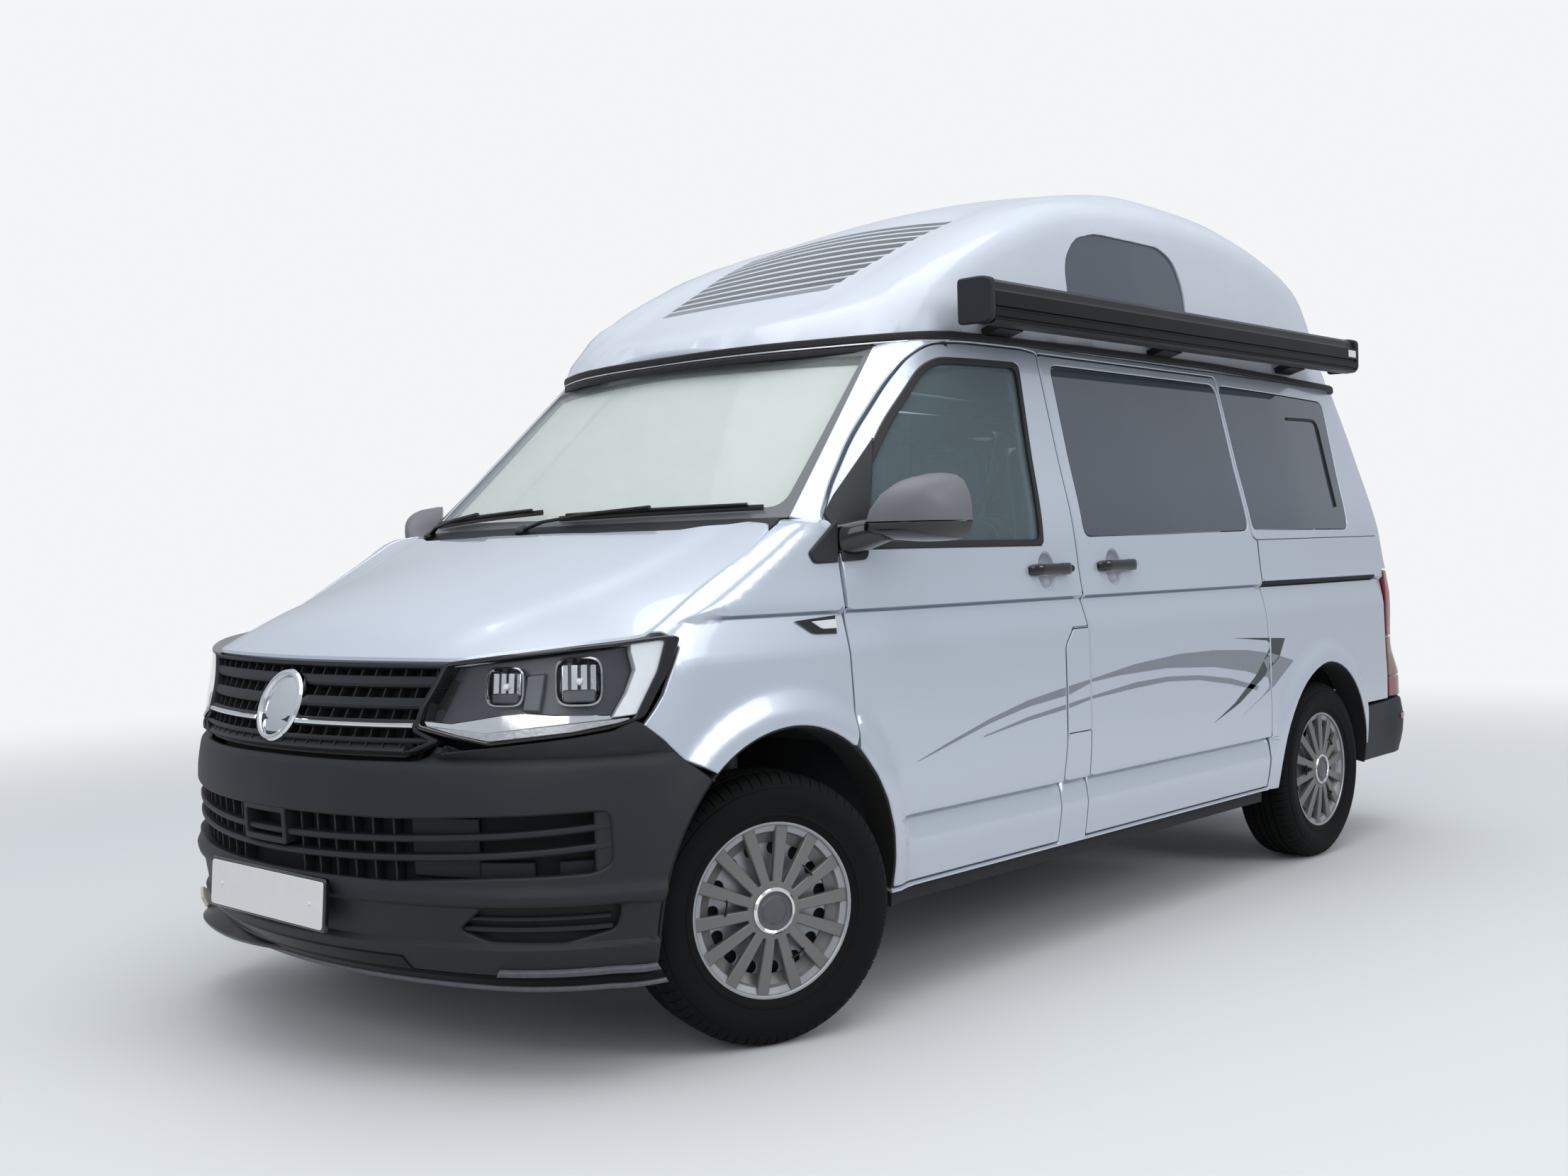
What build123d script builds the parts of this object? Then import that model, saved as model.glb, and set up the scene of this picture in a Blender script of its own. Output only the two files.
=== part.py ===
from build123d import *
import math
import os

# A mid-size camper van with a fixed moulded high top.  Millimetres.
# The van's front faces -Y, its left side is +X, +Z is up.  The origin lies on the ground,
# midway along the bumpers and midway between the sides.

# ---------------------------------------------------------------- driving dimensions
FRONT_AXLE_Y = -1544
REAR_AXLE_Y = 1456
TRACK_X = 814
KINGPIN_X = 724
REST_STEER = -20
TYRE_R = 335
TYRE_WIDTH = 215
RIM_R = 190
SPINDLE_R = 30
RUNNING_GAP = 0.05
HINGE_PIN_R = 2.45
HINGE_Y = -1380
HINGE_X = 936.4
PANEL = 50
FRAME_DEPTH = 95
REBATE = 45
SHUT_GAP = 6
GLASS = 6
GLASS_INSET = 8
GROOVE = 8
BELT_Z = 1240
GUTTER_Z = 1820
SILL_Z = 318
JACK_Z = 306
JACK_Y = (-950, 800)
FLOOR_Z = 400
FLOOR_TOP = 455
LINER = 12
ROOF_SKIN = 30
BUMPER_LOW_Z = 262
SPOKES = 14

# Reaches of the cutters: from one side out past the skin, and from either end
FAR_X = 1100
FAR_Y = 2600
WIDE = (300, FAR_X)
LEFT_HALF = (0, FAR_X)
NOSE_REACH = (-FAR_Y, -1840)
BUMPER_REACH = (-FAR_Y, -1500)
SCREEN_REACH = (-1800, -700)
TAIL_REACH = (1850, FAR_Y)
MIDDLE_X = (-636, 636)

# Wheel arches: centre y, centre z, radius
FRONT_ARCH = (-1565, 370, 415)
REAR_ARCH = (1430, 350, 400)

# Level sections of the body, each a closed line of arcs and straights, given for the left half.
# z, nose_y, cheek_x, cheek_y, corner_x, corner_y, side_x, tail_x, tail_y, rear_x, rear_y, end_y
TUB = [
    (235, -2352, 600, -2235, 860, -1935, 905, 880, 2150, 760, 2300, 2350),
    (330, -2425, 610, -2290, 885, -1955, 927, 900, 2200, 780, 2370, 2430),
    (500, -2448, 620, -2305, 902, -1960, 945, 908, 2200, 785, 2380, 2452),
    (640, -2452, 620, -2305, 908, -1955, 952, 908, 2200, 785, 2370, 2430),
    (775, -2440, 610, -2290, 904, -1940, 952, 905, 2140, 780, 2300, 2350),
    (975, -2345, 560, -2280, 895, -1900, 950, 900, 2120, 775, 2275, 2330),
    (1300, -2230, 540, -2180, 880, -1860, 924, 885, 2060, 760, 2210, 2270),
]
CABIN = TUB[:6] + [
    (1240, -1640, 767, -1480, 915, -1340, 930, 885, 2060, 760, 2210, 2270),
    (1500, -1375, 722, -1210, 862, -1090, 874, 840, 1975, 720, 2125, 2185),
    (1820, -1045, 667, -885, 785, -780, 805, 780, 1850, 665, 2000, 2060),
]

# Cross arcs of the bonnet surface: y, height on the centre line, height at x = 860
BONNET = [
    (-2500, 840, 680),
    (-2345, 982, 832),
    (-2250, 1062, 895),
    (-2100, 1125, 968),
    (-1945, 1172, 1027),
    (-1800, 1212, 1100),
    (-1600, 1253, 1200),
    (-1470, 1290, 1280),
    (-1340, 1300, 1300),
]

# Cross sections of the high top: y, base half-width, crease half-width and height,
# shoulder half-width and height, crown height
HIGH_TOP = [
    (-1075, 260, 215, 1836, 150, 1844, 1848),
    (-1020, 470, 410, 1850, 280, 1872, 1884),
    (-930, 640, 585, 1868, 400, 1910, 1928),
    (-840, 750, 690, 1895, 440, 1950, 1972),
    (-740, 798, 748, 1965, 450, 2005, 2024),
    (-570, 803, 760, 2070, 455, 2098, 2118),
    (-330, 805, 758, 2180, 455, 2222, 2248),
    (-40, 805, 752, 2268, 455, 2338, 2366),
    (300, 804, 746, 2318, 455, 2428, 2460),
    (700, 802, 742, 2336, 455, 2482, 2516),
    (1050, 798, 738, 2326, 450, 2480, 2514),
    (1400, 794, 728, 2286, 440, 2440, 2470),
    (1700, 788, 712, 2216, 430, 2360, 2388),
    (1880, 770, 680, 2120, 420, 2250, 2275),
    (1985, 690, 590, 2000, 380, 2090, 2110),
    (2050, 560, 460, 1860, 300, 1890, 1900),
]


# ---------------------------------------------------------------- shapes
def level_section(row, inset):
    z, nose, cheek_x, cheek_y, corner_x, corner_y, side, tail_x, tail_y, rear_x, rear_y, end = row
    nose += inset
    cheek_x -= 0.5 * inset
    cheek_y += 0.9 * inset
    corner_x -= inset
    corner_y += 0.3 * inset
    side -= inset
    tail_x -= inset
    tail_y -= 0.3 * inset
    rear_x -= 0.7 * inset
    rear_y -= 0.9 * inset
    end -= inset

    def bow(a, b, share):
        middle = ((a[0] + b[0]) / 2, (a[1] + b[1]) / 2)
        return (middle[0] + share * (b[1] - a[1]), middle[1] - share * (b[0] - a[0]), z)

    cheek = (cheek_x, cheek_y, z)
    corner = (corner_x, corner_y, z)
    tail = (tail_x, tail_y, z)
    rear = (rear_x, rear_y, z)
    front_side = (side, max(-1200, corner_y + 180), z)
    rear_side = (side, 1300, z)
    flip = [(-x, y, zz) for x, y, zz in (cheek, corner, front_side, rear_side, tail, rear)]
    cheek_bow = bow(cheek, corner, 0.12)
    tail_bow = bow(tail, rear, 0.2)
    return Wire([
        Edge.make_three_point_arc(flip[0], (0, nose, z), cheek),
        Edge.make_three_point_arc(cheek, cheek_bow, corner),
        Edge.make_line(corner, front_side),
        Edge.make_line(front_side, rear_side),
        Edge.make_line(rear_side, tail),
        Edge.make_three_point_arc(tail, tail_bow, rear),
        Edge.make_three_point_arc(rear, (0, end, z), flip[5]),
        Edge.make_three_point_arc(flip[5], (-tail_bow[0], tail_bow[1], z), flip[4]),
        Edge.make_line(flip[4], flip[3]),
        Edge.make_line(flip[3], flip[2]),
        Edge.make_line(flip[2], flip[1]),
        Edge.make_three_point_arc(flip[1], (-cheek_bow[0], cheek_bow[1], z), flip[0]),
    ])


def level_loft(rows, inset):
    return Solid.make_loft([level_section(row, inset) for row in rows], ruled=True)


def under_bonnet(drop):
    """Everything below the bonnet surface, and the full body behind it."""
    half = 1000
    wires = []
    for y, crown, edge in BONNET:
        low = crown - (crown - edge) * (half / 860) ** 2 - drop
        a = (-half, y, low)
        b = (half, y, low)
        c = (half, y, 100)
        d = (-half, y, 100)
        wires.append(Wire([
            Edge.make_three_point_arc(a, (0, y, crown - drop + 0.01), b),
            Edge.make_line(b, c),
            Edge.make_line(c, d),
            Edge.make_line(d, a),
        ]))
    return Solid.make_loft(wires, ruled=True)


def roof_section(row, inset, base_z):
    y, base, crease_x, crease_z, shoulder_x, shoulder_z, crown = row
    base -= inset
    crease_x -= inset
    shoulder_x -= 0.5 * inset
    crease_z -= 0.6 * inset
    shoulder_z -= inset
    crown -= inset
    a = (base, y, base_z)
    b = (crease_x, y, crease_z)
    c = (shoulder_x, y, shoulder_z)
    rise = shoulder_z - crease_z
    bulge_x = (crease_x + shoulder_x) / 2 + 0.14 * rise
    bulge_z = (crease_z + shoulder_z) / 2 + 0.08 * (crease_x - shoulder_x)
    bulge = (bulge_x, y, bulge_z)
    far_crease = (-crease_x, y, crease_z)
    return Wire([
        Edge.make_line((-base, y, base_z), a),
        Edge.make_line(a, b),
        Edge.make_three_point_arc(b, bulge, c),
        Edge.make_three_point_arc(c, (0, y, crown), (-shoulder_x, y, shoulder_z)),
        Edge.make_three_point_arc((-shoulder_x, y, shoulder_z), (-bulge_x, y, bulge_z), far_crease),
        Edge.make_line(far_crease, (-base, y, base_z)),
    ])


def block(x, y, z):
    """A box between two x, two y and two z."""
    middle = [(low + high) / 2 for low, high in (x, y, z)]
    return Pos(*middle) * Box(x[1] - x[0], y[1] - y[0], z[1] - z[0])


def span(a, b):
    return (min(a, b), max(a, b))


def side_prism(outline, x, grow=0):
    """A side-view outline of (y, z) points, swept from x[0] to x[1]."""
    face = make_face(Polyline(*outline, close=True))
    if grow:
        face = offset(face, amount=grow, kind=Kind.INTERSECTION)
    return extrude(Plane.YZ.offset(x[0]) * face, x[1] - x[0])


def front_prism(outline, y, grow=0):
    """A front-view outline of (x, z) points, swept from y[0] to y[1]."""
    face = make_face(Polyline(*outline, close=True))
    if grow:
        face = offset(face, amount=grow, kind=Kind.INTERSECTION)
    return extrude(Plane.XZ.offset(-y[1]) * face, y[1] - y[0])


def plan_prism(outline, z):
    """A plan-view outline of (x, y) points, swept from z[0] to z[1]."""
    face = make_face(Polyline(*outline, close=True))
    return extrude(Plane.XY.offset(z[0]) * face, z[1] - z[0])


def across(radius, y, z, x):
    """A round bar along X."""
    return Pos((x[0] + x[1]) / 2, y, z) * Rot(0, 90, 0) * Cylinder(radius, x[1] - x[0])


def tube(radius, start, end):
    start = Vector(*start)
    end = Vector(*end)
    plane = Plane(origin=start, z_dir=end - start)
    return extrude(plane * Circle(radius), (end - start).length)


def right_hand(shape):
    return mirror(shape, about=Plane.YZ)


def both_sides(shape):
    return Compound(children=[*solids_of(shape), *solids_of(right_hand(shape))])


def solids_of(shape):
    return [Solid(s.wrapped) for s in shape.solids()]


# ---------------------------------------------------------------- body envelopes
cabin_outer = level_loft(CABIN, 0)
cabin_panel = level_loft(CABIN, PANEL)
cabin_rebate = level_loft(CABIN, PANEL + SHUT_GAP)
cabin_inner = level_loft(CABIN, FRAME_DEPTH)
glass_outer = level_loft(CABIN, GLASS_INSET)
glass_inner = level_loft(CABIN, GLASS_INSET + GLASS)
nose_outer = level_loft(TUB, 0) & under_bonnet(0)
nose_inner = level_loft(TUB, 40) & under_bonnet(30)
nose_shell = nose_outer - nose_inner
cabin_skin = cabin_outer - cabin_panel
cabin_frame = cabin_outer - cabin_inner
cabin_lining = cabin_rebate - cabin_inner
glass_skin = glass_outer - glass_inner

# ---------------------------------------------------------------- outlines, as (y, z) or (x, z)
DOOR = [
    (HINGE_Y, 1292), (-1240, 1420), (-1065, 1619), (-871, 1770), (-292, 1795), (-284, BELT_Z),
    (-270, 1060), (-248, 966), (-330, 966), (-376, 912), (-376, 645), (-393, 500), (-403, 330),
    (-1130, 330), (-1130, 600), (-1330, 726), (HINGE_Y, 790),
]
DOOR_WINDOW = [
    (-1262, 1212), (-1170, 1450), (-1040, 1592), (-838, 1736), (-395, 1764), (-453, 1212),
]
SLIDER = [
    (-282, 1797), (-274, BELT_Z), (-260, 1060), (-238, 966), (-238, 645), (-247, 330),
    (955, 330), (967, 500), (940, 910), (913, 1060), (907, 1215), (868, 1232), (845, 1800),
]
SLIDER_WINDOW = [(-228, 1236), (852, 1250), (835, 1776), (-226, 1772)]
REAR_WINDOW = [(884, 1252), (1752, 1254), (1768, 1768), (860, 1776)]
MIDDLE_WINDOW = [(-228, 1236), (846, 1250), (828, 1776), (-226, 1772)]
WINDSCREEN = [(-790, 1296), (790, 1296), (678, 1788), (-678, 1788)]
TAILGATE = [
    (-700, 562), (700, 562), (692, 1000), (676, BELT_Z), (612, 1772),
    (-612, 1772), (-676, BELT_Z), (-692, 1000),
]
TAILGATE_WINDOW = [(-600, 1270), (600, 1270), (540, 1715), (-540, 1715)]
TAIL_LAMP = [(706, 560), (990, 560), (990, 1085), (700, 1085)]
LAMP = [(482, 811), (621, 781), (835, 823), (885, 880), (890, 1021), (700, 996), (538, 975)]
GRILLE = [(-538, 975), (538, 975), (482, 811), (452, 762), (-452, 762), (-482, 811)]
LOWER_GRILLE = [
    (-812, 640), (-430, 622), (430, 622), (812, 640), (812, 502), (430, 480), (-430, 480), (-812, 502),
]
FOG_SLOT = [(618, 382), (655, 420), (846, 418), (828, 368), (760, 354), (660, 357)]
BUMPER_TOP = [
    (-990, 560), (-912, 682), (-838, 819), (-621, 776), (-455, 754), (455, 754), (621, 776),
    (838, 819), (912, 682), (990, 560), (990, 225), (-990, 225),
]
BONNET_PLAN = [
    (858, -2500), (858, -1945), (848, -1800), (828, -1600), (806, -1512), (735, -1512), (560, -1590),
    (280, -1645), (0, -1665), (-280, -1645), (-560, -1590), (-735, -1512), (-806, -1512), (-828, -1600),
    (-848, -1800), (-858, -1945), (-858, -2500),
]
LAMP_LINE = [
    (-990, 1040), (-890, 1027), (-700, 1001), (-538, 980), (538, 980), (700, 1001), (890, 1027), (990, 1040),
    (990, 1400), (-990, 1400),
]
FLAP = [(-370, 651), (-244, 651), (-244, 960), (-327, 960), (-370, 908)]
MIRROR = [(-1345, 1225), (-1205, 1225), (-1195, 1440), (-1310, 1450)]
RAIL_SLOT = [(918, 1052), (918, 1068), (1988, 1066), (1988, 1050)]
ROOF_WINDOW = [
    (-50, 2010), (-40, 2130), (30, 2205), (160, 2235), (560, 2240), (660, 2205), (710, 2110), (705, 2010),
]

# ---------------------------------------------------------------- small forms
# Slots of the radiator grille and bars of the lower one: middle height and height
GRILLE_SLOTS = [(955, 18), (908, 24), (861, 22), (819, 16), (785, 18)]
LOWER_BARS = [(534, 18), (584, 18)]
# Recessed bands of the high top's front: how many, front y and half-width of the first and last, their width
ROOF_BANDS = 11
FIRST_BAND = (-748, 372)
LAST_BAND = (-253, 454)
BAND_WIDTH = 32
# Door handles: front y, rear y and height of the middle line; how far they stand out, and how tall they are
HANDLES = {"front_door": (-545, -334, 1140), "slider": (-172, 41, 1145)}
HANDLE_OUT_X = 968
HANDLE_TALL = 24

# ---------------------------------------------------------------- cutters
def arch_cutter(arch, inner_x):
    y, z, radius = arch
    round_top = across(radius, y, z, (inner_x, FAR_X))
    below = block((inner_x, FAR_X), (y - radius, y + radius), (-50, z))
    cutter = round_top + below
    return cutter + right_hand(cutter)


front_arches = arch_cutter(FRONT_ARCH, 470)
rear_arches = arch_cutter(REAR_ARCH, 640)
bumper_zone = front_prism(BUMPER_TOP, BUMPER_REACH)
lamp_zone = front_prism(LAMP, NOSE_REACH)
bonnet_zone = plan_prism(BONNET_PLAN, (700, 1400)) & front_prism(LAMP_LINE, (-FAR_Y, -1400))
TAIL_LAMP_Y = 2092
REAR_BUMPER_Y = 1836
REAR_BUMPER_TOP = 550
FLAP_PIN = (950, -371)
FLAP_PIN_R = 1.6
FLAP_PIN_Z = 810
TAIL_HINGE = (2074.5, 1772)
BONNET_HINGE = (-1512, 1256)
HINGE_Z = (800, 900)
LEAF = 3

# ---------------------------------------------------------------- fixed body
nodes = {}

BEHIND_WING_Y = -1360
SIDE_X = (MIDDLE_X[1], FAR_X)
left_half = block(SIDE_X, (-1600, FAR_Y), (SILL_Z, GUTTER_Z))
fixed_panel = cabin_frame & left_half
fixed_panel -= side_prism(DOOR, WIDE, SHUT_GAP)
fixed_panel -= block(LEFT_HALF, (-1600, BEHIND_WING_Y), (0, BELT_Z))
right_panel = fixed_panel
fixed_panel -= side_prism(SLIDER, WIDE, SHUT_GAP)
lining = cabin_lining & left_half
lining -= block(LEFT_HALF, (-1600, BEHIND_WING_Y + 8), (0, BELT_Z + 40))
lining -= side_prism(DOOR, WIDE, -REBATE)
right_lining = lining
lining -= side_prism(SLIDER, WIDE, -REBATE)


def finish_side(panel):
    panel -= front_prism(TAILGATE, TAIL_REACH, SHUT_GAP)
    panel -= front_prism(TAIL_LAMP, (TAIL_LAMP_Y, FAR_Y))
    panel -= front_prism(WINDSCREEN, SCREEN_REACH)
    panel -= side_prism(REAR_WINDOW, WIDE)
    panel -= rear_arches
    panel -= front_arches
    panel -= block(LEFT_HALF, (REAR_BUMPER_Y, FAR_Y), (0, REAR_BUMPER_TOP))
    leaf = block((850, HINGE_X), (HINGE_Y - 1.5 * LEAF, HINGE_Y - 0.5 * LEAF), HINGE_Z)
    pin = Pos(HINGE_X, HINGE_Y, sum(HINGE_Z) / 2) * Cylinder(HINGE_PIN_R, HINGE_Z[1] - HINGE_Z[0])
    tongue = block((HINGE_X - 2, HINGE_X), (HINGE_Y - 4, HINGE_Y), HINGE_Z)
    post = cabin_lining & block(SIDE_X, (-1410, -1300), (HINGE_Z[0] - 40, HINGE_Z[1] + 40))
    return panel + post + leaf + pin + tongue


door_seat = (cabin_panel - cabin_rebate) & side_prism(SLIDER, WIDE, -2 * SHUT_GAP)
door_seat -= side_prism(SLIDER, WIDE, -34)
side_frame_left = finish_side(fixed_panel + lining + door_seat)
surface = cabin_outer - glass_outer
side_frame_left -= surface & side_prism(RAIL_SLOT, WIDE)
flap_pocket = (cabin_outer - level_loft(CABIN, 30)) & side_prism(FLAP, WIDE, 4)
side_frame_left -= flap_pocket
flap_pin_z = (FLAP_PIN_Z - 30, FLAP_PIN_Z + 30)
flap_pin = Pos(*FLAP_PIN, FLAP_PIN_Z) * Cylinder(FLAP_PIN_R, 60)
flap_pin += block((915, FLAP_PIN[0]), (FLAP_PIN[1] - 2, FLAP_PIN[1] + 0.9), flap_pin_z)
flap_pin += block((890, 918), (FLAP_PIN[1] - 2, FLAP_PIN[1] + 4), flap_pin_z)
nodes["side_frame_left"] = side_frame_left + flap_pin
flap = surface & side_prism(FLAP, WIDE)
nodes["fuel_flap"] = flap - Pos(*FLAP_PIN, FLAP_PIN_Z) * Cylinder(FLAP_PIN_R + RUNNING_GAP, 70)
side_frame_right = finish_side(right_panel + right_lining) - side_prism(MIDDLE_WINDOW, WIDE)
nodes["side_frame_right"] = right_hand(side_frame_right)

header = cabin_frame & block(MIDDLE_X, (-1100, -700), (1600, GUTTER_Z))
nodes["front_header"] = header - front_prism(WINDSCREEN, SCREEN_REACH)
rear_frame = cabin_frame & block(MIDDLE_X, TAIL_REACH, (430, GUTTER_Z))
rear_frame -= front_prism(TAILGATE, TAIL_REACH, SHUT_GAP)
rear_frame -= block((-1000, 1000), (TAIL_LAMP_Y - 2, FAR_Y), (0, REAR_BUMPER_TOP))
hinge_y, hinge_z = TAIL_HINGE
for x in (-60, 60):
    rear_frame += across(HINGE_PIN_R, hinge_y, hinge_z, (x - 25, x + 25))
    rear_frame += block((x - 25, x + 25), (hinge_y - 2.3, hinge_y - 0.3), (hinge_z, hinge_z + 8))
nodes["rear_frame"] = rear_frame

# The floor with its bulkhead, sills, jack pads and front rails
FLOOR_Y = (-1110, 2080)
FLOOR_X = (-850, 850)
BULKHEAD_TOP = 1130
floor = block(FLOOR_X, FLOOR_Y, (FLOOR_Z, FLOOR_TOP))
floor += block(FLOOR_X, (FLOOR_Y[0], FLOOR_Y[0] + 35), (FLOOR_TOP, BULKHEAD_TOP))
for x in (-825, 825):
    floor += block((x - 25, x + 25), (FLOOR_Y[0], 950), (SILL_Z + 12, FLOOR_Z))
floor &= cabin_inner
for x in (-811, 811):
    for y in JACK_Y:
        floor += block((x - 14, x + 14), (y - 60, y + 60), (JACK_Z, FLOOR_Z))
RAIL_Z = (FLOOR_Z + 40, FLOOR_Z + 120)
for x in (-410, 410):
    floor += block((x - 40, x + 40), (-2250, FLOOR_Y[0]), RAIL_Z)
nodes["floor_pan"] = floor - rear_arches - front_arches


def housing(arch, x):
    """The round liner of a wheel arch, closed on its inner side."""
    y, z, radius = arch
    return across(radius + LINER, y, z, x) - across(radius, y, z, (x[0] + LINER, x[1] + 100))


rear_housing = housing(REAR_ARCH, (628, 838)) & block((600, 900), (900, 1900), (FLOOR_TOP, 900))
rear_housing &= cabin_inner
front_housing = housing(FRONT_ARCH, (450, 850)) & block((450, 825), (-2100, FLOOR_Y[0]), (RAIL_Z[1], 900))
front_housing &= nose_inner
liners = [*solids_of(both_sides(front_housing)), *solids_of(both_sides(rear_housing))]
nodes["wheel_housings"] = Compound(children=liners)

# ---------------------------------------------------------------- nose
bumper = nose_shell & bumper_zone
bumper -= front_arches
bumper -= front_prism(LOWER_GRILLE, NOSE_REACH)
fog_slot = front_prism(FOG_SLOT, NOSE_REACH)
bumper -= fog_slot + right_hand(fog_slot)
bumper &= block((-1000, 1000), (-FAR_Y, -1700), (BUMPER_LOW_Z, 900))
for z, tall in LOWER_BARS:
    bumper += nose_shell & block((-820, 820), NOSE_REACH, (z - tall / 2, z + tall / 2))
nodes["front_bumper"] = bumper

splitter_y = (-FAR_Y, -1960)
splitter = nose_outer & block((-1000, 1000), splitter_y, (BUMPER_LOW_Z - 37, BUMPER_LOW_Z))
splitter -= level_loft(TUB, 130) & block((-1000, 1000), (-FAR_Y, -1900), (BUMPER_LOW_Z - 37, 300))
nodes["splitter"] = splitter - front_arches

grille = (nose_outer - level_loft(TUB, 55)) & front_prism(GRILLE, NOSE_REACH)
grille -= bumper_zone
slot_depth = nose_outer - level_loft(TUB, 30)
for z, tall in GRILLE_SLOTS:
    grille -= slot_depth & block((-560, 560), NOSE_REACH, (z - tall / 2, z + tall / 2))
nodes["grille"] = grille

lamp_block = nose_outer - level_loft(TUB, 110)
headlamp = lamp_block & front_prism(LAMP, NOSE_REACH) & block((400, 1000), NOSE_REACH, (700, FAR_X))
headlamp -= bumper_zone
nodes["headlamps"] = both_sides(headlamp)

BESIDE_LAMP = [(0, 600), (860, 600), (860, 1050), (0, 1050)]
hinge_y, hinge_z = BONNET_HINGE
wing = nose_shell & block((700, FAR_X), (-2050, BEHIND_WING_Y), (420, BELT_Z + 40))
wing -= side_prism(DOOR, WIDE, SHUT_GAP)
wing -= bumper_zone
wing -= lamp_zone
wing -= front_prism(BESIDE_LAMP, (-FAR_Y, -1850))
for shift in ((SHUT_GAP, 0), (0, SHUT_GAP)):
    wing -= Pos(*shift) * plan_prism(BONNET_PLAN, (700, 1400))
wing -= cabin_outer & block(LEFT_HALF, (-1700, -1300), (BELT_Z, 1400))
wing += across(HINGE_PIN_R, hinge_y, hinge_z, (740, 800))
wing += block((740, 800), (hinge_y, hinge_y + 8), (hinge_z - 1.5, hinge_z + 1.5))
wing -= front_arches
nodes["wings"] = both_sides(wing)

bonnet = (nose_outer - (level_loft(TUB, 30) & under_bonnet(30))) & bonnet_zone
for side in (-1, 1):
    bonnet -= across(HINGE_PIN_R + RUNNING_GAP, hinge_y, hinge_z, span(side * 730, side * 815))
nodes["bonnet"] = bonnet

scuttle = (cabin_outer - cabin_panel) & block(MIDDLE_X, (-1900, -1400), (1200, 1292))
nodes["scuttle"] = scuttle - Pos(0, SHUT_GAP) * plan_prism(BONNET_PLAN, (700, 1400))
nodes["windscreen"] = glass_skin & front_prism(WINDSCREEN, SCREEN_REACH)

# ---------------------------------------------------------------- doors
door = cabin_skin & side_prism(DOOR, WIDE)
door -= front_prism(WINDSCREEN, SCREEN_REACH, 45)
door -= side_prism(DOOR_WINDOW, WIDE)
door -= front_arches
door -= block((0, 872), (HINGE_Y, HINGE_Y + 50), (1170, 1300))
door -= Pos(HINGE_X, HINGE_Y, sum(HINGE_Z) / 2) * Cylinder(HINGE_PIN_R + RUNNING_GAP, 110)


def handle(name):
    """A bar that stands out from the door's skin on two feet."""
    front, rear, z = HANDLES[name]
    z = (z - HANDLE_TALL / 2, z + HANDLE_TALL / 2)
    grip = block((HANDLE_OUT_X - 16, HANDLE_OUT_X), (front, rear), z)
    for end in (front, rear - 24):
        grip += block((900, HANDLE_OUT_X - 8), (end, end + 24), z)
    return grip - cabin_panel


nodes["front_door_left"] = door + handle("front_door")
door_glass = glass_skin & side_prism(DOOR_WINDOW, (700, 1100))
nodes["door_glass_left"] = door_glass
mirror_head = side_prism(MIRROR, (985, 1148))
mirror_arm = block((880, 1000), (-1330, -1268), (1232, 1286))
nodes["mirror_left"] = (fillet(mirror_head.edges(), 28) + mirror_arm) - cabin_outer
for name in ("front_door", "door_glass", "mirror"):
    nodes[name + "_right"] = right_hand(nodes[name + "_left"])

slider = cabin_skin & side_prism(SLIDER, WIDE)
slider -= side_prism(SLIDER_WINDOW, WIDE)
slider -= rear_arches
nodes["sliding_door"] = slider + handle("slider")
nodes["slider_glass"] = glass_skin & side_prism(SLIDER_WINDOW, WIDE)
rear_glass = glass_skin & side_prism(REAR_WINDOW, WIDE)
middle_glass = right_hand(glass_skin & side_prism(MIDDLE_WINDOW, WIDE))
nodes["side_glass"] = Compound(children=[*solids_of(both_sides(rear_glass)), *solids_of(middle_glass)])

tailgate = cabin_skin & front_prism(TAILGATE, TAIL_REACH)
tailgate -= across(HINGE_PIN_R + RUNNING_GAP, TAIL_HINGE[0], TAIL_HINGE[1], (-100, 100))
nodes["tailgate"] = tailgate - front_prism(TAILGATE_WINDOW, TAIL_REACH)
nodes["tailgate_glass"] = glass_skin & front_prism(TAILGATE_WINDOW, TAIL_REACH)
tail_lamp = (cabin_outer - level_loft(CABIN, 70)) & front_prism(TAIL_LAMP, (TAIL_LAMP_Y, FAR_Y))
nodes["tail_lamps"] = both_sides(tail_lamp)
nodes["rear_bumper"] = cabin_frame & block((-1000, 1000), (REAR_BUMPER_Y, FAR_Y), (SILL_Z, REAR_BUMPER_TOP))

# ---------------------------------------------------------------- high top and awning
def roof_loft(rows, inset, base_z):
    return Solid.make_loft([roof_section(row, inset, base_z) for row in rows], ruled=True)


high_top_outer = roof_loft(HIGH_TOP, 0, GUTTER_Z)
roof_surface = high_top_outer - roof_loft(HIGH_TOP[1:-1], GROOVE, GUTTER_Z - 20)
window_zone = side_prism(ROOF_WINDOW, (400, FAR_X))
high_top = high_top_outer - roof_loft(HIGH_TOP[2:-2], ROOF_SKIN, GUTTER_Z - 20)
high_top -= window_zone + right_hand(window_zone)
for i in range(ROOF_BANDS):
    front, half = (a + (b - a) * i / (ROOF_BANDS - 1) for a, b in zip(FIRST_BAND, LAST_BAND))
    high_top -= roof_surface & block((-half, half), (front, front + BAND_WIDTH), (GUTTER_Z, FAR_Y))
nodes["high_top"] = high_top
nodes["roof_windows"] = both_sides(roof_surface & window_zone)

AWNING_X = (862, 985)
AWNING_Y = (-800, 1740)
AWNING_Z = (1850, 1985)
case = block(AWNING_X, AWNING_Y, AWNING_Z)
awning = fillet(case.edges().filter_by(Axis.Y), 24)
for y in (-500, 1400):
    awning += block((780, AWNING_X[0] + 2), (y - 60, y + 60), (AWNING_Z[0] + 12, AWNING_Z[1] - 35))
nodes["awning"] = awning - high_top_outer

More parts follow.
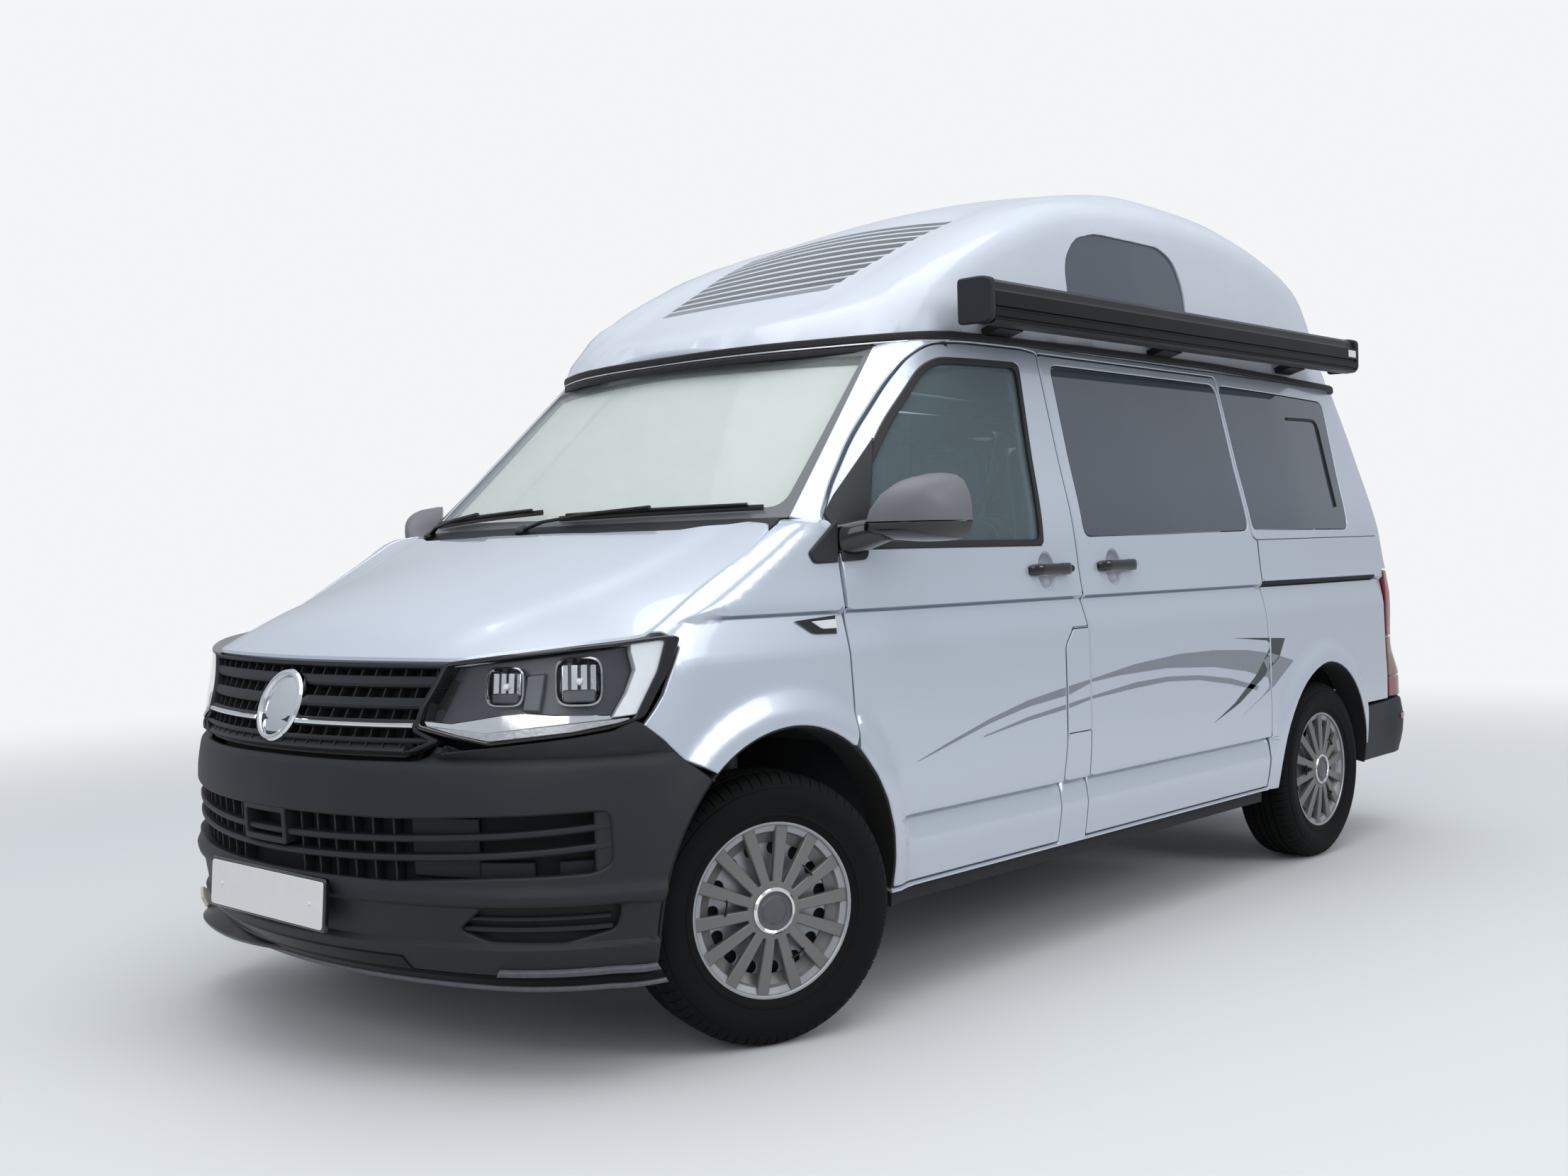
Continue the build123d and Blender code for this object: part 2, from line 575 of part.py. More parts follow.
# ---------------------------------------------------------------- cab and living space
dash = block((-700, 700), (-1340, -1000), (900, 1180)) & cabin_inner
nodes["dashboard"] = dash - nodes["floor_pan"]
STEERING_CENTRE = (-380, -865, 1120)
STEERING_RAKE = 118
steering_plane = Pos(*STEERING_CENTRE) * Rot(STEERING_RAKE, 0, 0)
steering_rim = steering_plane * Torus(185, 15)
steering_boss = steering_plane * (Box(372, 34, 16) + Cylinder(62, 34))
column = tube(24, (-380, -1015, 1041), (-380, -875, 1115))
nodes["steering_wheel"] = steering_rim + steering_boss + column - nodes["dashboard"]

# Plain blocks of the furniture: x, y, z
CAB_SEAT = {
    "base": ((220, 650), (-760, -220), (FLOOR_TOP, 600)),
    "cushion": ((180, 690), (-790, -300), (600, 760)),
    "back": ((180, 690), (-300, -180), (700, 1330)),
    "posts": ((340, 530), (-255, -225), (1320, 1350)),
    "headrest": ((300, 570), (-285, -195), (1345, 1530)),
}
BENCH = {
    "seat": ((-350, 560), (1000, 1560), (FLOOR_TOP, 860)),
    "back": ((-350, 560), (1560, 1700), (700, 1290)),
}
KITCHEN = ((-800, -420), (-80, 990), (FLOOR_TOP, 1230))


def joined_blocks(table):
    shape = None
    for piece in table.values():
        shape = block(*piece) if shape is None else shape + block(*piece)
    return shape


nodes["cab_seats"] = both_sides(joined_blocks(CAB_SEAT))
nodes["bench_seat"] = joined_blocks(BENCH)
nodes["kitchen_unit"] = block(*KITCHEN) & cabin_inner

# ---------------------------------------------------------------- running gear
SUBFRAME_X = 370
ARM_Z = (200, 231)
KINGPIN_HOLE_R = 12
nodes["engine_block"] = block((-SUBFRAME_X, SUBFRAME_X), (-2150, -1500), (330, 960))
subframe = block((-SUBFRAME_X, SUBFRAME_X), (-1490, -1250), (230, 300))
subframe += block((-450, 450), (-1470, -1290), (300, RAIL_Z[0]))
for side in (-1, 1):
    arm = block(span(side * 360, side * 600), (-1575, -1440), ARM_Z)
    arm += block(span(side * 360, side * 744), (-1570, -1518), ARM_Z)
    subframe += arm - Pos(side * KINGPIN_X, FRONT_AXLE_Y, 215) * Cylinder(KINGPIN_HOLE_R + RUNNING_GAP, 60)
nodes["front_subframe"] = subframe


def about_kingpin(shape, side):
    pin = Pos(side * KINGPIN_X, FRONT_AXLE_Y, 0)
    return pin * Rot(0, 0, REST_STEER) * pin.inverse() * shape


def hub_and_spindle(side, y, inner_x, hub_x):
    """The bearing hub and the spindle that a wheel turns on."""
    hub = across(52, y, TYRE_R, span(side * inner_x, side * hub_x))
    return hub + across(SPINDLE_R, y, TYRE_R, span(side * (inner_x + 20), side * (TRACK_X + 70)))


def knuckle(side):
    x = side * KINGPIN_X
    carrier_x = x - side * 60
    body = Pos(carrier_x, FRONT_AXLE_Y, TYRE_R) * Box(50, 110, 190)
    hub = hub_and_spindle(side, FRONT_AXLE_Y, KINGPIN_X - 60, KINGPIN_X - 12)
    strut = Pos(carrier_x, FRONT_AXLE_Y, 595) * Cylinder(24, 350)
    foot = block(span(x - side * 80, x + side * 16), (FRONT_AXLE_Y - 26, FRONT_AXLE_Y + 26), (236, 258))
    kingpin = Pos(x, FRONT_AXLE_Y, 222) * Cylinder(KINGPIN_HOLE_R, 34)
    return about_kingpin(body + hub + strut + foot + kingpin, side)


def spoke_window(i):
    """One opening between two spokes of the wheel cover, cut from its outer face."""
    half_angle = 180 / SPOKES
    corners = []
    for radius, share in ((88, 0.42), (164, 0.66)):
        for sign in (-1, 1):
            angle = math.radians(i * 360 / SPOKES + sign * half_angle * share)
            corners.append((radius * math.cos(angle), radius * math.sin(angle)))
    face = make_face(Polyline(corners[0], corners[1], corners[3], corners[2], close=True))
    return Rot(90, 0, 0) * extrude(Pos(0, 0, -COVER_FACE) * face, COVER_RECESS)


# Lathe profiles of (radius, distance out from the track's middle)
COVER_FACE = 86
COVER_RECESS = 12
WHEEL_PROFILE = [
    (SPINDLE_R + RUNNING_GAP, 22), (60, 22), (60, 58), (150, 66), (176, 30), (176, -62), (180, -70),
    (186, -92), (214, -92), (214, -84), (196, -80), (190, -60), (190, 60), (196, 80), (214, 84),
    (214, 92), (188, 92), (178, 76), (150, 80), (46, 84), (0, 84), (0, 78), (SPINDLE_R + RUNNING_GAP, 78),
]
TYRE_HALF_PROFILE = [
    (318, 0), (318, 80), (283, 92), (245, 88), (216, 66), (RIM_R, 60), (RIM_R + 5.7, 79), (215.5, 79.5),
    (216, 93), (250, TYRE_WIDTH / 2 - 2), (283, TYRE_WIDTH / 2), (306, TYRE_WIDTH / 2 - 9),
    (TYRE_R - 10, TYRE_WIDTH / 2 - 21), (TYRE_R, TYRE_WIDTH / 2 - 38),
]


def turned(profile, side):
    ring = revolve(make_face(Polyline(*profile, close=True)), axis=Axis.Y)
    return Pos(side * TRACK_X, 0, TYRE_R) * Rot(0, 0, -90 * side) * ring


def wheel_disc(side):
    windows = [spoke_window(i) for i in range(SPOKES)]
    place = Pos(side * TRACK_X, 0, TYRE_R) * Rot(0, 0, -90 * side)
    return turned(WHEEL_PROFILE, side) - [place * window for window in windows]


def tyre(side):
    mirrored = [(r, -out) for r, out in reversed(TYRE_HALF_PROFILE[1:])]
    return turned(TYRE_HALF_PROFILE + mirrored, side)


for name, side in (("left", 1), ("right", -1)):
    nodes["knuckle_" + name] = knuckle(side)
    for end, axle_y in (("front", FRONT_AXLE_Y), ("rear", REAR_AXLE_Y)):
        pieces = {"wheel": wheel_disc(side), "tyre": tyre(side)}
        for kind, shape in pieces.items():
            shape = Pos(0, axle_y, 0) * shape
            if end == "front":
                shape = about_kingpin(shape, side)
            nodes[f"{kind}_{end}_{name}"] = shape

axle = block((-420, 420), (1180, 1280), (250, 340)) + block((-420, 420), (1180, 1260), (340, FLOOR_Z))
for side in (-1, 1):
    axle += block(span(side * 400, side * 640), (1200, 1500), (270, 330))
    axle += Pos(side * 640, REAR_AXLE_Y, TYRE_R) * Box(50, 120, 120)
    axle += hub_and_spindle(side, REAR_AXLE_Y, 640, 712)
nodes["rear_axle"] = axle
nodes["fuel_tank"] = block((60, 620), (-700, 250), (235, FLOOR_Z))

EXHAUST_X = -250
EXHAUST_Z = 300
exhaust = tube(28, (EXHAUST_X, -1240, EXHAUST_Z), (EXHAUST_X, 400, EXHAUST_Z))
exhaust += tube(85, (EXHAUST_X, 380, EXHAUST_Z), (EXHAUST_X, 880, EXHAUST_Z))
for y in (-1000, -200, 620):
    exhaust += block((EXHAUST_X - 8, EXHAUST_X + 8), (y - 20, y + 20), (EXHAUST_Z, FLOOR_Z))
nodes["exhaust"] = exhaust

# ---------------------------------------------------------------- output
os.makedirs("parts", exist_ok=True)
for name, shape in nodes.items():
    export_step(shape, f"parts/{name}.step")
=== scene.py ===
# A mid-size camper van with a fixed moulded high top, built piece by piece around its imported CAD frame.
# Panel outlines and sections are in millimetres and become metres as each mesh is made.
import math

import bmesh
import bpy
import numpy as np
from mathutils import Euler, Matrix, Vector
from mathutils.geometry import delaunay_2d_cdt


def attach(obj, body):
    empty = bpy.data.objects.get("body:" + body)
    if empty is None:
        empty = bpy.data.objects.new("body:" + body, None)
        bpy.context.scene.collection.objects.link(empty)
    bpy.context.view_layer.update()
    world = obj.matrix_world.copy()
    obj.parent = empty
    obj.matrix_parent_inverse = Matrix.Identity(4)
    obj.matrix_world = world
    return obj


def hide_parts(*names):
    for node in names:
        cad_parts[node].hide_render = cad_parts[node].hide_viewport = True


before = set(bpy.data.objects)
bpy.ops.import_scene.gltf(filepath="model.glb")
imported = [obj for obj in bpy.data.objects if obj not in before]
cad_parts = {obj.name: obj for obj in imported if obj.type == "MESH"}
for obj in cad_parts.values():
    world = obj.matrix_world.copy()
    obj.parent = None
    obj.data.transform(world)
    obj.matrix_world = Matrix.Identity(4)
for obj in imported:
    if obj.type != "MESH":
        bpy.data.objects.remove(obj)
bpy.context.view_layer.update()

# ---------------- camera, floor and light
# The van is seen from its front left corner at chest height, on a pale seamless floor.
# Overhead, front and side softboxes and an even pale sky light it like a car studio.
CAMERA_AT = (3.5638, -4.4223, 1.1916)
SENSOR_MM, FOCAL_PIXELS, WIDE_PIXELS = 36, 2252.2, 2212
yaw, pitch, roll = 0.7473, 0.0182, -0.0247
ahead = Vector((-math.sin(yaw), math.cos(yaw), 0))
across = Vector((math.cos(yaw), math.sin(yaw), 0))
forward = ahead * math.cos(pitch) - Vector((0, 0, 1)) * math.sin(pitch)
above = Vector((0, 0, 1)) * math.cos(pitch) + ahead * math.sin(pitch)
right = across * math.cos(roll) + above * math.sin(roll)
above = above * math.cos(roll) - across * math.sin(roll)
camera = bpy.data.objects.new("camera", bpy.data.cameras.new("camera"))
bpy.context.scene.collection.objects.link(camera)
camera.matrix_world = Matrix.Translation(CAMERA_AT) @ Matrix((right, above, -forward)).transposed().to_4x4()
camera.data.sensor_width = SENSOR_MM
camera.data.lens = SENSOR_MM * FOCAL_PIXELS / WIDE_PIXELS
camera.data.clip_end = 200
bpy.context.scene.camera = camera
bpy.context.scene.view_settings.view_transform = "Standard"


def linear(hex_text):
    channels = [int(hex_text[i : i + 2], 16) / 255 for i in (1, 3, 5)]
    return [c / 12.92 if c <= 0.04045 else ((c + 0.055) / 1.055) ** 2.4 for c in channels] + [1]


def add(tree, kind, inputs=None, **settings):
    node = tree.nodes.new(kind)
    for key, value in settings.items():
        setattr(node, key, value)
    for socket, value in (inputs or {}).items():
        if isinstance(value, bpy.types.NodeSocket):
            tree.links.new(value, node.inputs[socket])
        else:
            node.inputs[socket].default_value = value
    return node


def link_object(name, mesh):
    piece = bpy.data.objects.new(name, mesh)
    bpy.context.scene.collection.objects.link(piece)
    return piece


sky = bpy.data.worlds.new("studio sky")
bpy.context.scene.world = sky
sky.use_nodes = True
tree = sky.node_tree
tree.nodes.clear()
rays = add(tree, "ShaderNodeLightPath")
place = add(tree, "ShaderNodeTexCoord")
height = add(tree, "ShaderNodeSeparateXYZ", {0: place.outputs["Generated"]})
lift = add(tree, "ShaderNodeMapRange", {0: height.outputs["Z"], 1: -0.05, 2: 0.7, 3: 0.0, 4: 1.0})
fill = add(tree, "ShaderNodeMix", {0: lift.outputs[0], 6: linear("#b4bac2"), 7: linear("#e2e8f0")}, data_type="RGBA")
seen = add(
    tree, "ShaderNodeMath", {0: rays.outputs["Is Camera Ray"], 1: rays.outputs["Is Transmission Ray"]},
    operation="MAXIMUM",
)
shown = add(tree, "ShaderNodeMix", {0: seen.outputs[0], 6: fill.outputs[2], 7: linear("#f4f5f6")}, data_type="RGBA")
strength = add(tree, "ShaderNodeMapRange", {0: seen.outputs[0], 1: 0.0, 2: 1.0, 3: 0.92, 4: 1.0})
glow = add(tree, "ShaderNodeBackground", {"Color": shown.outputs[2], "Strength": strength.outputs[0]})
add(tree, "ShaderNodeOutputWorld", {"Surface": glow.outputs[0]})


def softbox(name, place_at, look_at, size, power):
    lamp = bpy.data.lights.new(name, "AREA")
    lamp.shape = "RECTANGLE"
    lamp.size, lamp.size_y = size
    lamp.energy = power
    box = bpy.data.objects.new(name, lamp)
    bpy.context.scene.collection.objects.link(box)
    box.location = place_at
    box.rotation_euler = (Vector(look_at) - Vector(place_at)).to_track_quat("-Z", "Y").to_euler()


softbox("overhead softbox", (1.0, -1.5, 7.5), (0, -0.2, 1.0), (7, 9), 305)
softbox("front softbox", (4.0, -8.0, 4.5), (0, -1.0, 1.0), (5, 4), 110)
softbox("side softbox", (9.5, 2.0, 5.0), (0.9, 0, 1.0), (5, 4), 205)

floor_mesh = bpy.data.meshes.new("studio floor")
span = 60
floor_mesh.from_pydata([(-span, -span, 0), (span, -span, 0), (span, span, 0), (-span, span, 0)], [], [(0, 1, 2, 3)])
studio_floor = link_object("studio floor", floor_mesh)
pale = bpy.data.materials.new("pale painted concrete")
pale.use_nodes = True
shader = pale.node_tree.nodes["Principled BSDF"]
cloud = add(pale.node_tree, "ShaderNodeTexNoise", {"Scale": 1.3, "Detail": 4.0})
tint = add(
    pale.node_tree, "ShaderNodeMix", {0: cloud.outputs[0], 6: linear("#d3d4d4"), 7: linear("#dadbdb")},
    data_type="RGBA",
)
# Rays bouncing off the van see the floor as a darker grey than the camera does: painted shade on the van's lower
# flanks.
eye = add(pale.node_tree, "ShaderNodeLightPath")
diffuse_shade_share = add(pale.node_tree, "ShaderNodeMath", {0: eye.outputs["Is Diffuse Ray"], 1: 0.75}, operation="MULTIPLY")
tone = add(
    pale.node_tree, "ShaderNodeMix", {0: diffuse_shade_share.outputs[0], 6: tint.outputs[2], 7: linear("#707275")},
    data_type="RGBA",
)
pale.node_tree.links.new(tone.outputs[2], shader.inputs["Base Color"])
shader.inputs["Roughness"].default_value = 0.62
spot = add(pale.node_tree, "ShaderNodeTexCoord")
reach = add(pale.node_tree, "ShaderNodeVectorMath", {0: spot.outputs["Object"]}, operation="LENGTH")
away = add(
    pale.node_tree, "ShaderNodeMapRange", {0: reach.outputs["Value"], 1: 3.6, 2: 10.0, 3: 0.0, 4: 1.0},
    interpolation_type="SMOOTHSTEP",
)
share = add(
    pale.node_tree, "ShaderNodeMath", {0: away.outputs[0], 1: eye.outputs["Is Camera Ray"]}, operation="MULTIPLY",
)
haze = add(pale.node_tree, "ShaderNodeEmission", {"Color": linear("#f4f5f6"), "Strength": 1.0})
blend = add(pale.node_tree, "ShaderNodeMixShader", {0: share.outputs[0], 1: shader.outputs[0], 2: haze.outputs[0]})
pale.node_tree.links.new(blend.outputs[0], pale.node_tree.nodes["Material Output"].inputs["Surface"])
floor_mesh.materials.append(pale)

# ---------------- body shell surface
# Pressed steel panels share one smooth outer surface, lofted through level sections of the body.
# Each section runs from the nose along the left side to the tail; the right side is its mirror.
# z, nose_y, cheek_x, cheek_y, corner_x, corner_y, side_x, tail_x, tail_y, rear_x, rear_y, end_y
LOWER_LEVELS = [
    (225, -2346, 600, -2232, 856, -1930, 902, 877, 2145, 757, 2296, 2346),
    (330, -2425, 610, -2290, 885, -1955, 927, 900, 2200, 780, 2370, 2430),
    (500, -2448, 620, -2305, 902, -1960, 945, 908, 2200, 785, 2380, 2452),
    (640, -2452, 620, -2305, 908, -1955, 952, 908, 2200, 785, 2370, 2430),
    (775, -2440, 610, -2290, 904, -1940, 952, 905, 2140, 780, 2300, 2350),
    (975, -2345, 560, -2280, 895, -1900, 950, 900, 2120, 775, 2275, 2330),
]
NOSE_LEVELS = LOWER_LEVELS + [(1300, -2230, 540, -2180, 880, -1860, 924, 885, 2060, 760, 2210, 2270)]
CABIN_LEVELS = LOWER_LEVELS + [
    (1110, -1773, 789, -1614, 938, -1464, 940, 892, 2090, 767, 2242, 2299),
    (1240, -1640, 767, -1480, 915, -1340, 930, 885, 2060, 760, 2210, 2270),
    (1500, -1375, 722, -1210, 862, -1090, 874, 840, 1975, 720, 2125, 2185),
    (1830, -1035, 665, -874, 783, -770, 803, 778, 1846, 663, 1996, 2056),
]
CREASE_PROFILE = [(950, 0), (1040, -11), (1050, -12.5), (1055, -21), (1060, 2.5), (1075, 2.5), (1150, 0)]
GROOVE_PROFILE = [(425, 0), (440, -2), (470, -10), (495, -17), (500, -24), (505, -20), (510, -1), (515, 0)]
GROOVE_ENDS = (-1172, 985)
FRONT_ARCH = (-1565, 370, 415, 0.892)
REAR_ARCH = (1430, 350, 400, 1.0)
ARCH_LIP, ARCH_LIP_WIDTH = 17, 92


def smooth_curve(xs, ys, at):
    """A monotone cubic through the points, level beyond its ends."""
    xs, ys = np.asarray(xs, float), np.asarray(ys, float)
    step = np.diff(xs)
    rise = np.diff(ys) / step
    slope = np.zeros(len(xs))
    same = rise[:-1] * rise[1:] > 0
    slope[1:-1][same] = 2 * rise[:-1][same] * rise[1:][same] / (rise[:-1][same] + rise[1:][same])
    slope[0], slope[-1] = rise[0], rise[-1]
    at = np.clip(at, xs[0], xs[-1])
    i = np.clip(np.searchsorted(xs, at, side="right") - 1, 0, len(xs) - 2)
    h = step[i]
    t = (at - xs[i]) / h
    a, b = ys[i], ys[i + 1]
    return (
        a * (1 + 2 * t) * (1 - t) ** 2
        + b * t * t * (3 - 2 * t)
        + h * slope[i] * t * (1 - t) ** 2
        - h * slope[i + 1] * t * t * (1 - t)
    )


def ramp(low, high, value):
    t = np.clip((value - low) / (high - low), 0, 1)
    return t * t * (3 - 2 * t)


def arc_points(a, middle, b, count):
    (ax, ay), (mx, my), (bx, by) = a, middle, b
    d = 2 * (ax * (my - by) + mx * (by - ay) + bx * (ay - my))
    sa, sm, sb = ax * ax + ay * ay, mx * mx + my * my, bx * bx + by * by
    cx = (sa * (my - by) + sm * (by - ay) + sb * (ay - my)) / d
    cy = (sa * (bx - mx) + sm * (ax - bx) + sb * (mx - ax)) / d
    first = math.atan2(ay - cy, ax - cx)
    half = (math.atan2(my - cy, mx - cx) - first + math.pi) % (2 * math.pi) - math.pi
    last = (math.atan2(by - cy, bx - cx) - first + math.pi) % (2 * math.pi) - math.pi
    if half * last < 0:
        last += math.copysign(2 * math.pi, half)
    radius = math.hypot(ax - cx, ay - cy)
    angles = first + last * np.linspace(0, 1, count)
    return np.stack([cx + radius * np.cos(angles), cy + radius * np.sin(angles)], 1)


def lengths_along(line):
    return np.concatenate([[0], np.cumsum(np.linalg.norm(np.diff(line, axis=0), axis=1))])


def even_spacing(line, step):
    along = lengths_along(line)
    at = np.arange(0, along[-1], step)
    return np.stack([np.interp(at, along, line[:, k]) for k in range(line.shape[1])], 1)


def bell(reach, width):
    """The weights of a soft average over a point and its neighbours on both sides."""
    weight = np.exp(-0.5 * (np.arange(-reach, reach + 1) / width) ** 2)
    return weight / weight.sum()


def bowed(a, b, share):
    return ((a[0] + b[0]) / 2 + share * (b[1] - a[1]), (a[1] + b[1]) / 2 - share * (b[0] - a[0]))


def level_line(row):
    """Half of one level section, from the nose centre to the tail centre, every 5 mm, corners rounded."""
    _, nose, cheek_x, cheek_y, corner_x, corner_y, side, tail_x, tail_y, rear_x, rear_y, end = row
    cheek, corner, tail, rear = (cheek_x, cheek_y), (corner_x, corner_y), (tail_x, tail_y), (rear_x, rear_y)
    front = arc_points((-cheek_x, cheek_y), (0, nose), cheek, 61)[30:]
    turn = arc_points(cheek, bowed(cheek, corner, 0.12), corner, 24)[1:]
    flank = np.array([(side, max(-1200, corner_y + 180)), (side, 1300)])
    back = arc_points(tail, bowed(tail, rear, 0.2), rear, 20)
    close = arc_points(rear, (0, end), (-rear_x, rear_y), 61)[1:31]
    line = even_spacing(np.concatenate([front, turn, flank, back, close]), 5)
    mirror = np.array([-1, 1])
    padded = np.concatenate([line[1:41][::-1] * mirror, line, line[-41:-1][::-1] * mirror])
    smooth = np.stack([np.convolve(padded[:, k], bell(20, 6.4), "same") for k in (0, 1)], 1)
    return smooth[40:-40]


def arch_distance(arch, y, z):
    along = np.where(y > arch[0], (y - arch[0]) / arch[3], y - arch[0])
    return np.hypot(along, np.maximum(z - arch[1], 0)) - arch[2]


def side_relief(x, y, z):
    """How far the flanks' creases, groove and wheel arch lips stand out from the plain surface."""
    flank = ramp(560, 860, x)
    crease = np.interp(z, *zip(*CREASE_PROFILE))
    fade = ramp(GROOVE_ENDS[0], GROOVE_ENDS[0] + 60, y) * ramp(GROOVE_ENDS[1] + 10, GROOVE_ENDS[1] - 20, y)
    groove = np.interp(z, *zip(*GROOVE_PROFILE)) * fade
    lip = 0
    for arch in (FRONT_ARCH, REAR_ARCH):
        away = arch_distance(arch, y, z)
        lip = lip + ARCH_LIP * ramp(ARCH_LIP_WIDTH, 30, away) * ramp(arch[1] - 330, arch[1] + 120, z)
    return flank * (crease + groove + lip)


class Patch:
    """A surface given as an even grid of points over two lengths, with depth measured along its normal."""

    def __init__(self, across, up, grid, out):
        self.across, self.up, self.grid = across, up, grid
        self.face(out)

    def face(self, out, axis=2):
        """Unit normals, turned to agree with out point by point or, where axis is None, as a whole."""
        normal = np.cross(np.gradient(self.grid, axis=1), np.gradient(self.grid, axis=0))
        normal /= np.linalg.norm(normal, axis=2, keepdims=True) + 1e-9
        self.normal = normal * np.sign((normal * out).sum(axis, keepdims=True))

    def sample(self, table, flat):
        i = np.clip((flat[:, 1] - self.up[0]) / (self.up[1] - self.up[0]), 0, len(self.up) - 1.001)
        j = np.clip((flat[:, 0] - self.across[0]) / (self.across[1] - self.across[0]), 0, len(self.across) - 1.001)
        a, b = i.astype(int), j.astype(int)
        u, v = (i - a)[:, None], (j - b)[:, None]
        low = table[a, b] * (1 - v) + table[a, b + 1] * v
        high = table[a + 1, b] * (1 - v) + table[a + 1, b + 1] * v
        return low * (1 - u) + high * u

    def at(self, flat, depth=0.0):
        flat = np.asarray(flat, float)
        return self.sample(self.grid, flat) - self.sample(self.normal, flat) * depth


class Skin(Patch):
    """A surface over (run, height): run is the length along the level section from its anchor."""

    def __init__(self, levels, anchor, low, high, first, last, relief=None):
        self.anchor = anchor
        self.up = np.arange(low, high + 1, 5.0)
        self.across = np.arange(first, last + 1, 5.0)
        table = np.array(levels, float)
        rows = np.stack([smooth_curve(table[:, 0], table[:, k], self.up) for k in range(12)], 1)
        grid = np.zeros((len(self.up), len(self.across), 3))
        for i, row in enumerate(rows):
            line = level_line(row)
            if anchor == "tail":
                line = line[::-1]
            if anchor != "side":
                line = np.concatenate([line[:0:-1] * [-1, 1], line])
            along = lengths_along(line)
            origin = np.interp(0, line[:, 1], along) if anchor == "side" else along[len(line) // 2]
            grid[i, :, 0] = np.interp(self.across + origin, along, line[:, 0])
            grid[i, :, 1] = np.interp(self.across + origin, along, line[:, 1])
            grid[i, :, 2] = self.up[i]
        self.grid = grid
        self.face(grid - grid.reshape(-1, 3).mean(0), None)
        if relief:
            self.grid = grid + self.normal * relief(np.abs(grid[..., 0]), grid[..., 1], grid[..., 2])[..., None]
            self.face(self.grid - self.grid.reshape(-1, 3).mean(0), None)

    def run_of(self, z, y=None, x=None):
        """The run at which the section at height z reaches y, or reaches x on the face that holds the anchor."""
        at = float(np.clip((z - self.up[0]) / 5, 0, len(self.up) - 1.001))
        low = int(at)
        return self.run_on(low, y, x) * (1 - at + low) + self.run_on(low + 1, y, x) * (at - low)

    def run_on(self, row, y, x):
        half = slice(None) if self.anchor == "side" else self.across >= 0
        line, runs = self.grid[row][half], self.across[half]
        if y is not None:
            order = np.argsort(line[:, 1])
            return float(np.interp(y, line[order, 1], runs[order]))
        top = int(np.argmax(line[:, 0]))
        return math.copysign(float(np.interp(abs(x), line[: top + 1, 0], runs[: top + 1])), x)

    def spots(self, points):
        """Runs and heights of points given as (y, z) on a side, or as (x, z) on the nose or tail."""
        return [(self.run_of(z, **{"y" if self.anchor == "side" else "x": place}), z) for place, z in points]

    def outline(self, points):
        return self.spots(divided(points, 25))

    def spot(self, z, depth, **place):
        return self.at([(self.run_of(z, **place), z)], depth)[0]


def divided(points, step):
    """A closed outline with points added so that no edge is longer than step."""
    points = np.asarray(points, float)
    found = []
    for a, b in zip(points, np.roll(points, -1, axis=0)):
        count = max(1, math.ceil(np.hypot(*(b - a)) / step))
        found += [a + (b - a) * k / count for k in range(count)]
    return np.array(found)


def rounded(points, radius):
    """A closed outline with its corners rounded, each by its own radius or all by one."""
    points = [np.array(p, float) for p in points]
    radii = np.broadcast_to(radius, len(points))
    found = []
    for before, corner, after, reach in zip(points[-1:] + points[:-1], points, points[1:] + points[:1], radii):
        if reach == 0:
            found.append(corner)
            continue
        cut = min(reach, 0.45 * np.hypot(*(before - corner)), 0.45 * np.hypot(*(after - corner)))
        a = corner + (before - corner) / np.hypot(*(before - corner)) * cut
        b = corner + (after - corner) / np.hypot(*(after - corner)) * cut
        for t in np.linspace(0, 1, 6):
            found.append(a * (1 - t) ** 2 + corner * 2 * t * (1 - t) + b * t * t)
    return np.array(found)


def signed_area(loop):
    return (loop[:, 0] * np.roll(loop[:, 1], -1) - np.roll(loop[:, 0], -1) * loop[:, 1]).sum()


def turned(loop, sense):
    return loop if signed_area(loop) * sense > 0 else loop[::-1]


def moved_in(loop, distance):
    """A loop with each point moved to its left by distance."""
    edge = np.roll(loop, -1, axis=0) - loop
    edge /= np.hypot(*edge.T)[:, None] + 1e-9
    left = np.stack([-edge[:, 1], edge[:, 0]], 1)
    both = left + np.roll(left, 1, axis=0)
    both /= np.maximum((both**2).sum(1), 0.4)[:, None]
    return loop + 2 * both * distance


def inside(points, loop):
    found = np.zeros(len(points), bool)
    x, y = points[:, 0], points[:, 1]
    for (ax, ay), (bx, by) in zip(loop, np.roll(loop, -1, axis=0)):
        if ay != by:
            found ^= ((ay > y) != (by > y)) & (x < ax + (y - ay) * (bx - ax) / (by - ay))
    return found


def nearness(points, loop):
    least = np.full(len(points), 1e9)
    for a, b in zip(loop, np.roll(loop, -1, axis=0)):
        edge = b - a
        t = np.clip(((points - a) @ edge) / max(edge @ edge, 1e-9), 0, 1)
        least = np.minimum(least, ((points - a - t[:, None] * edge) ** 2).sum(1))
    return np.sqrt(least)


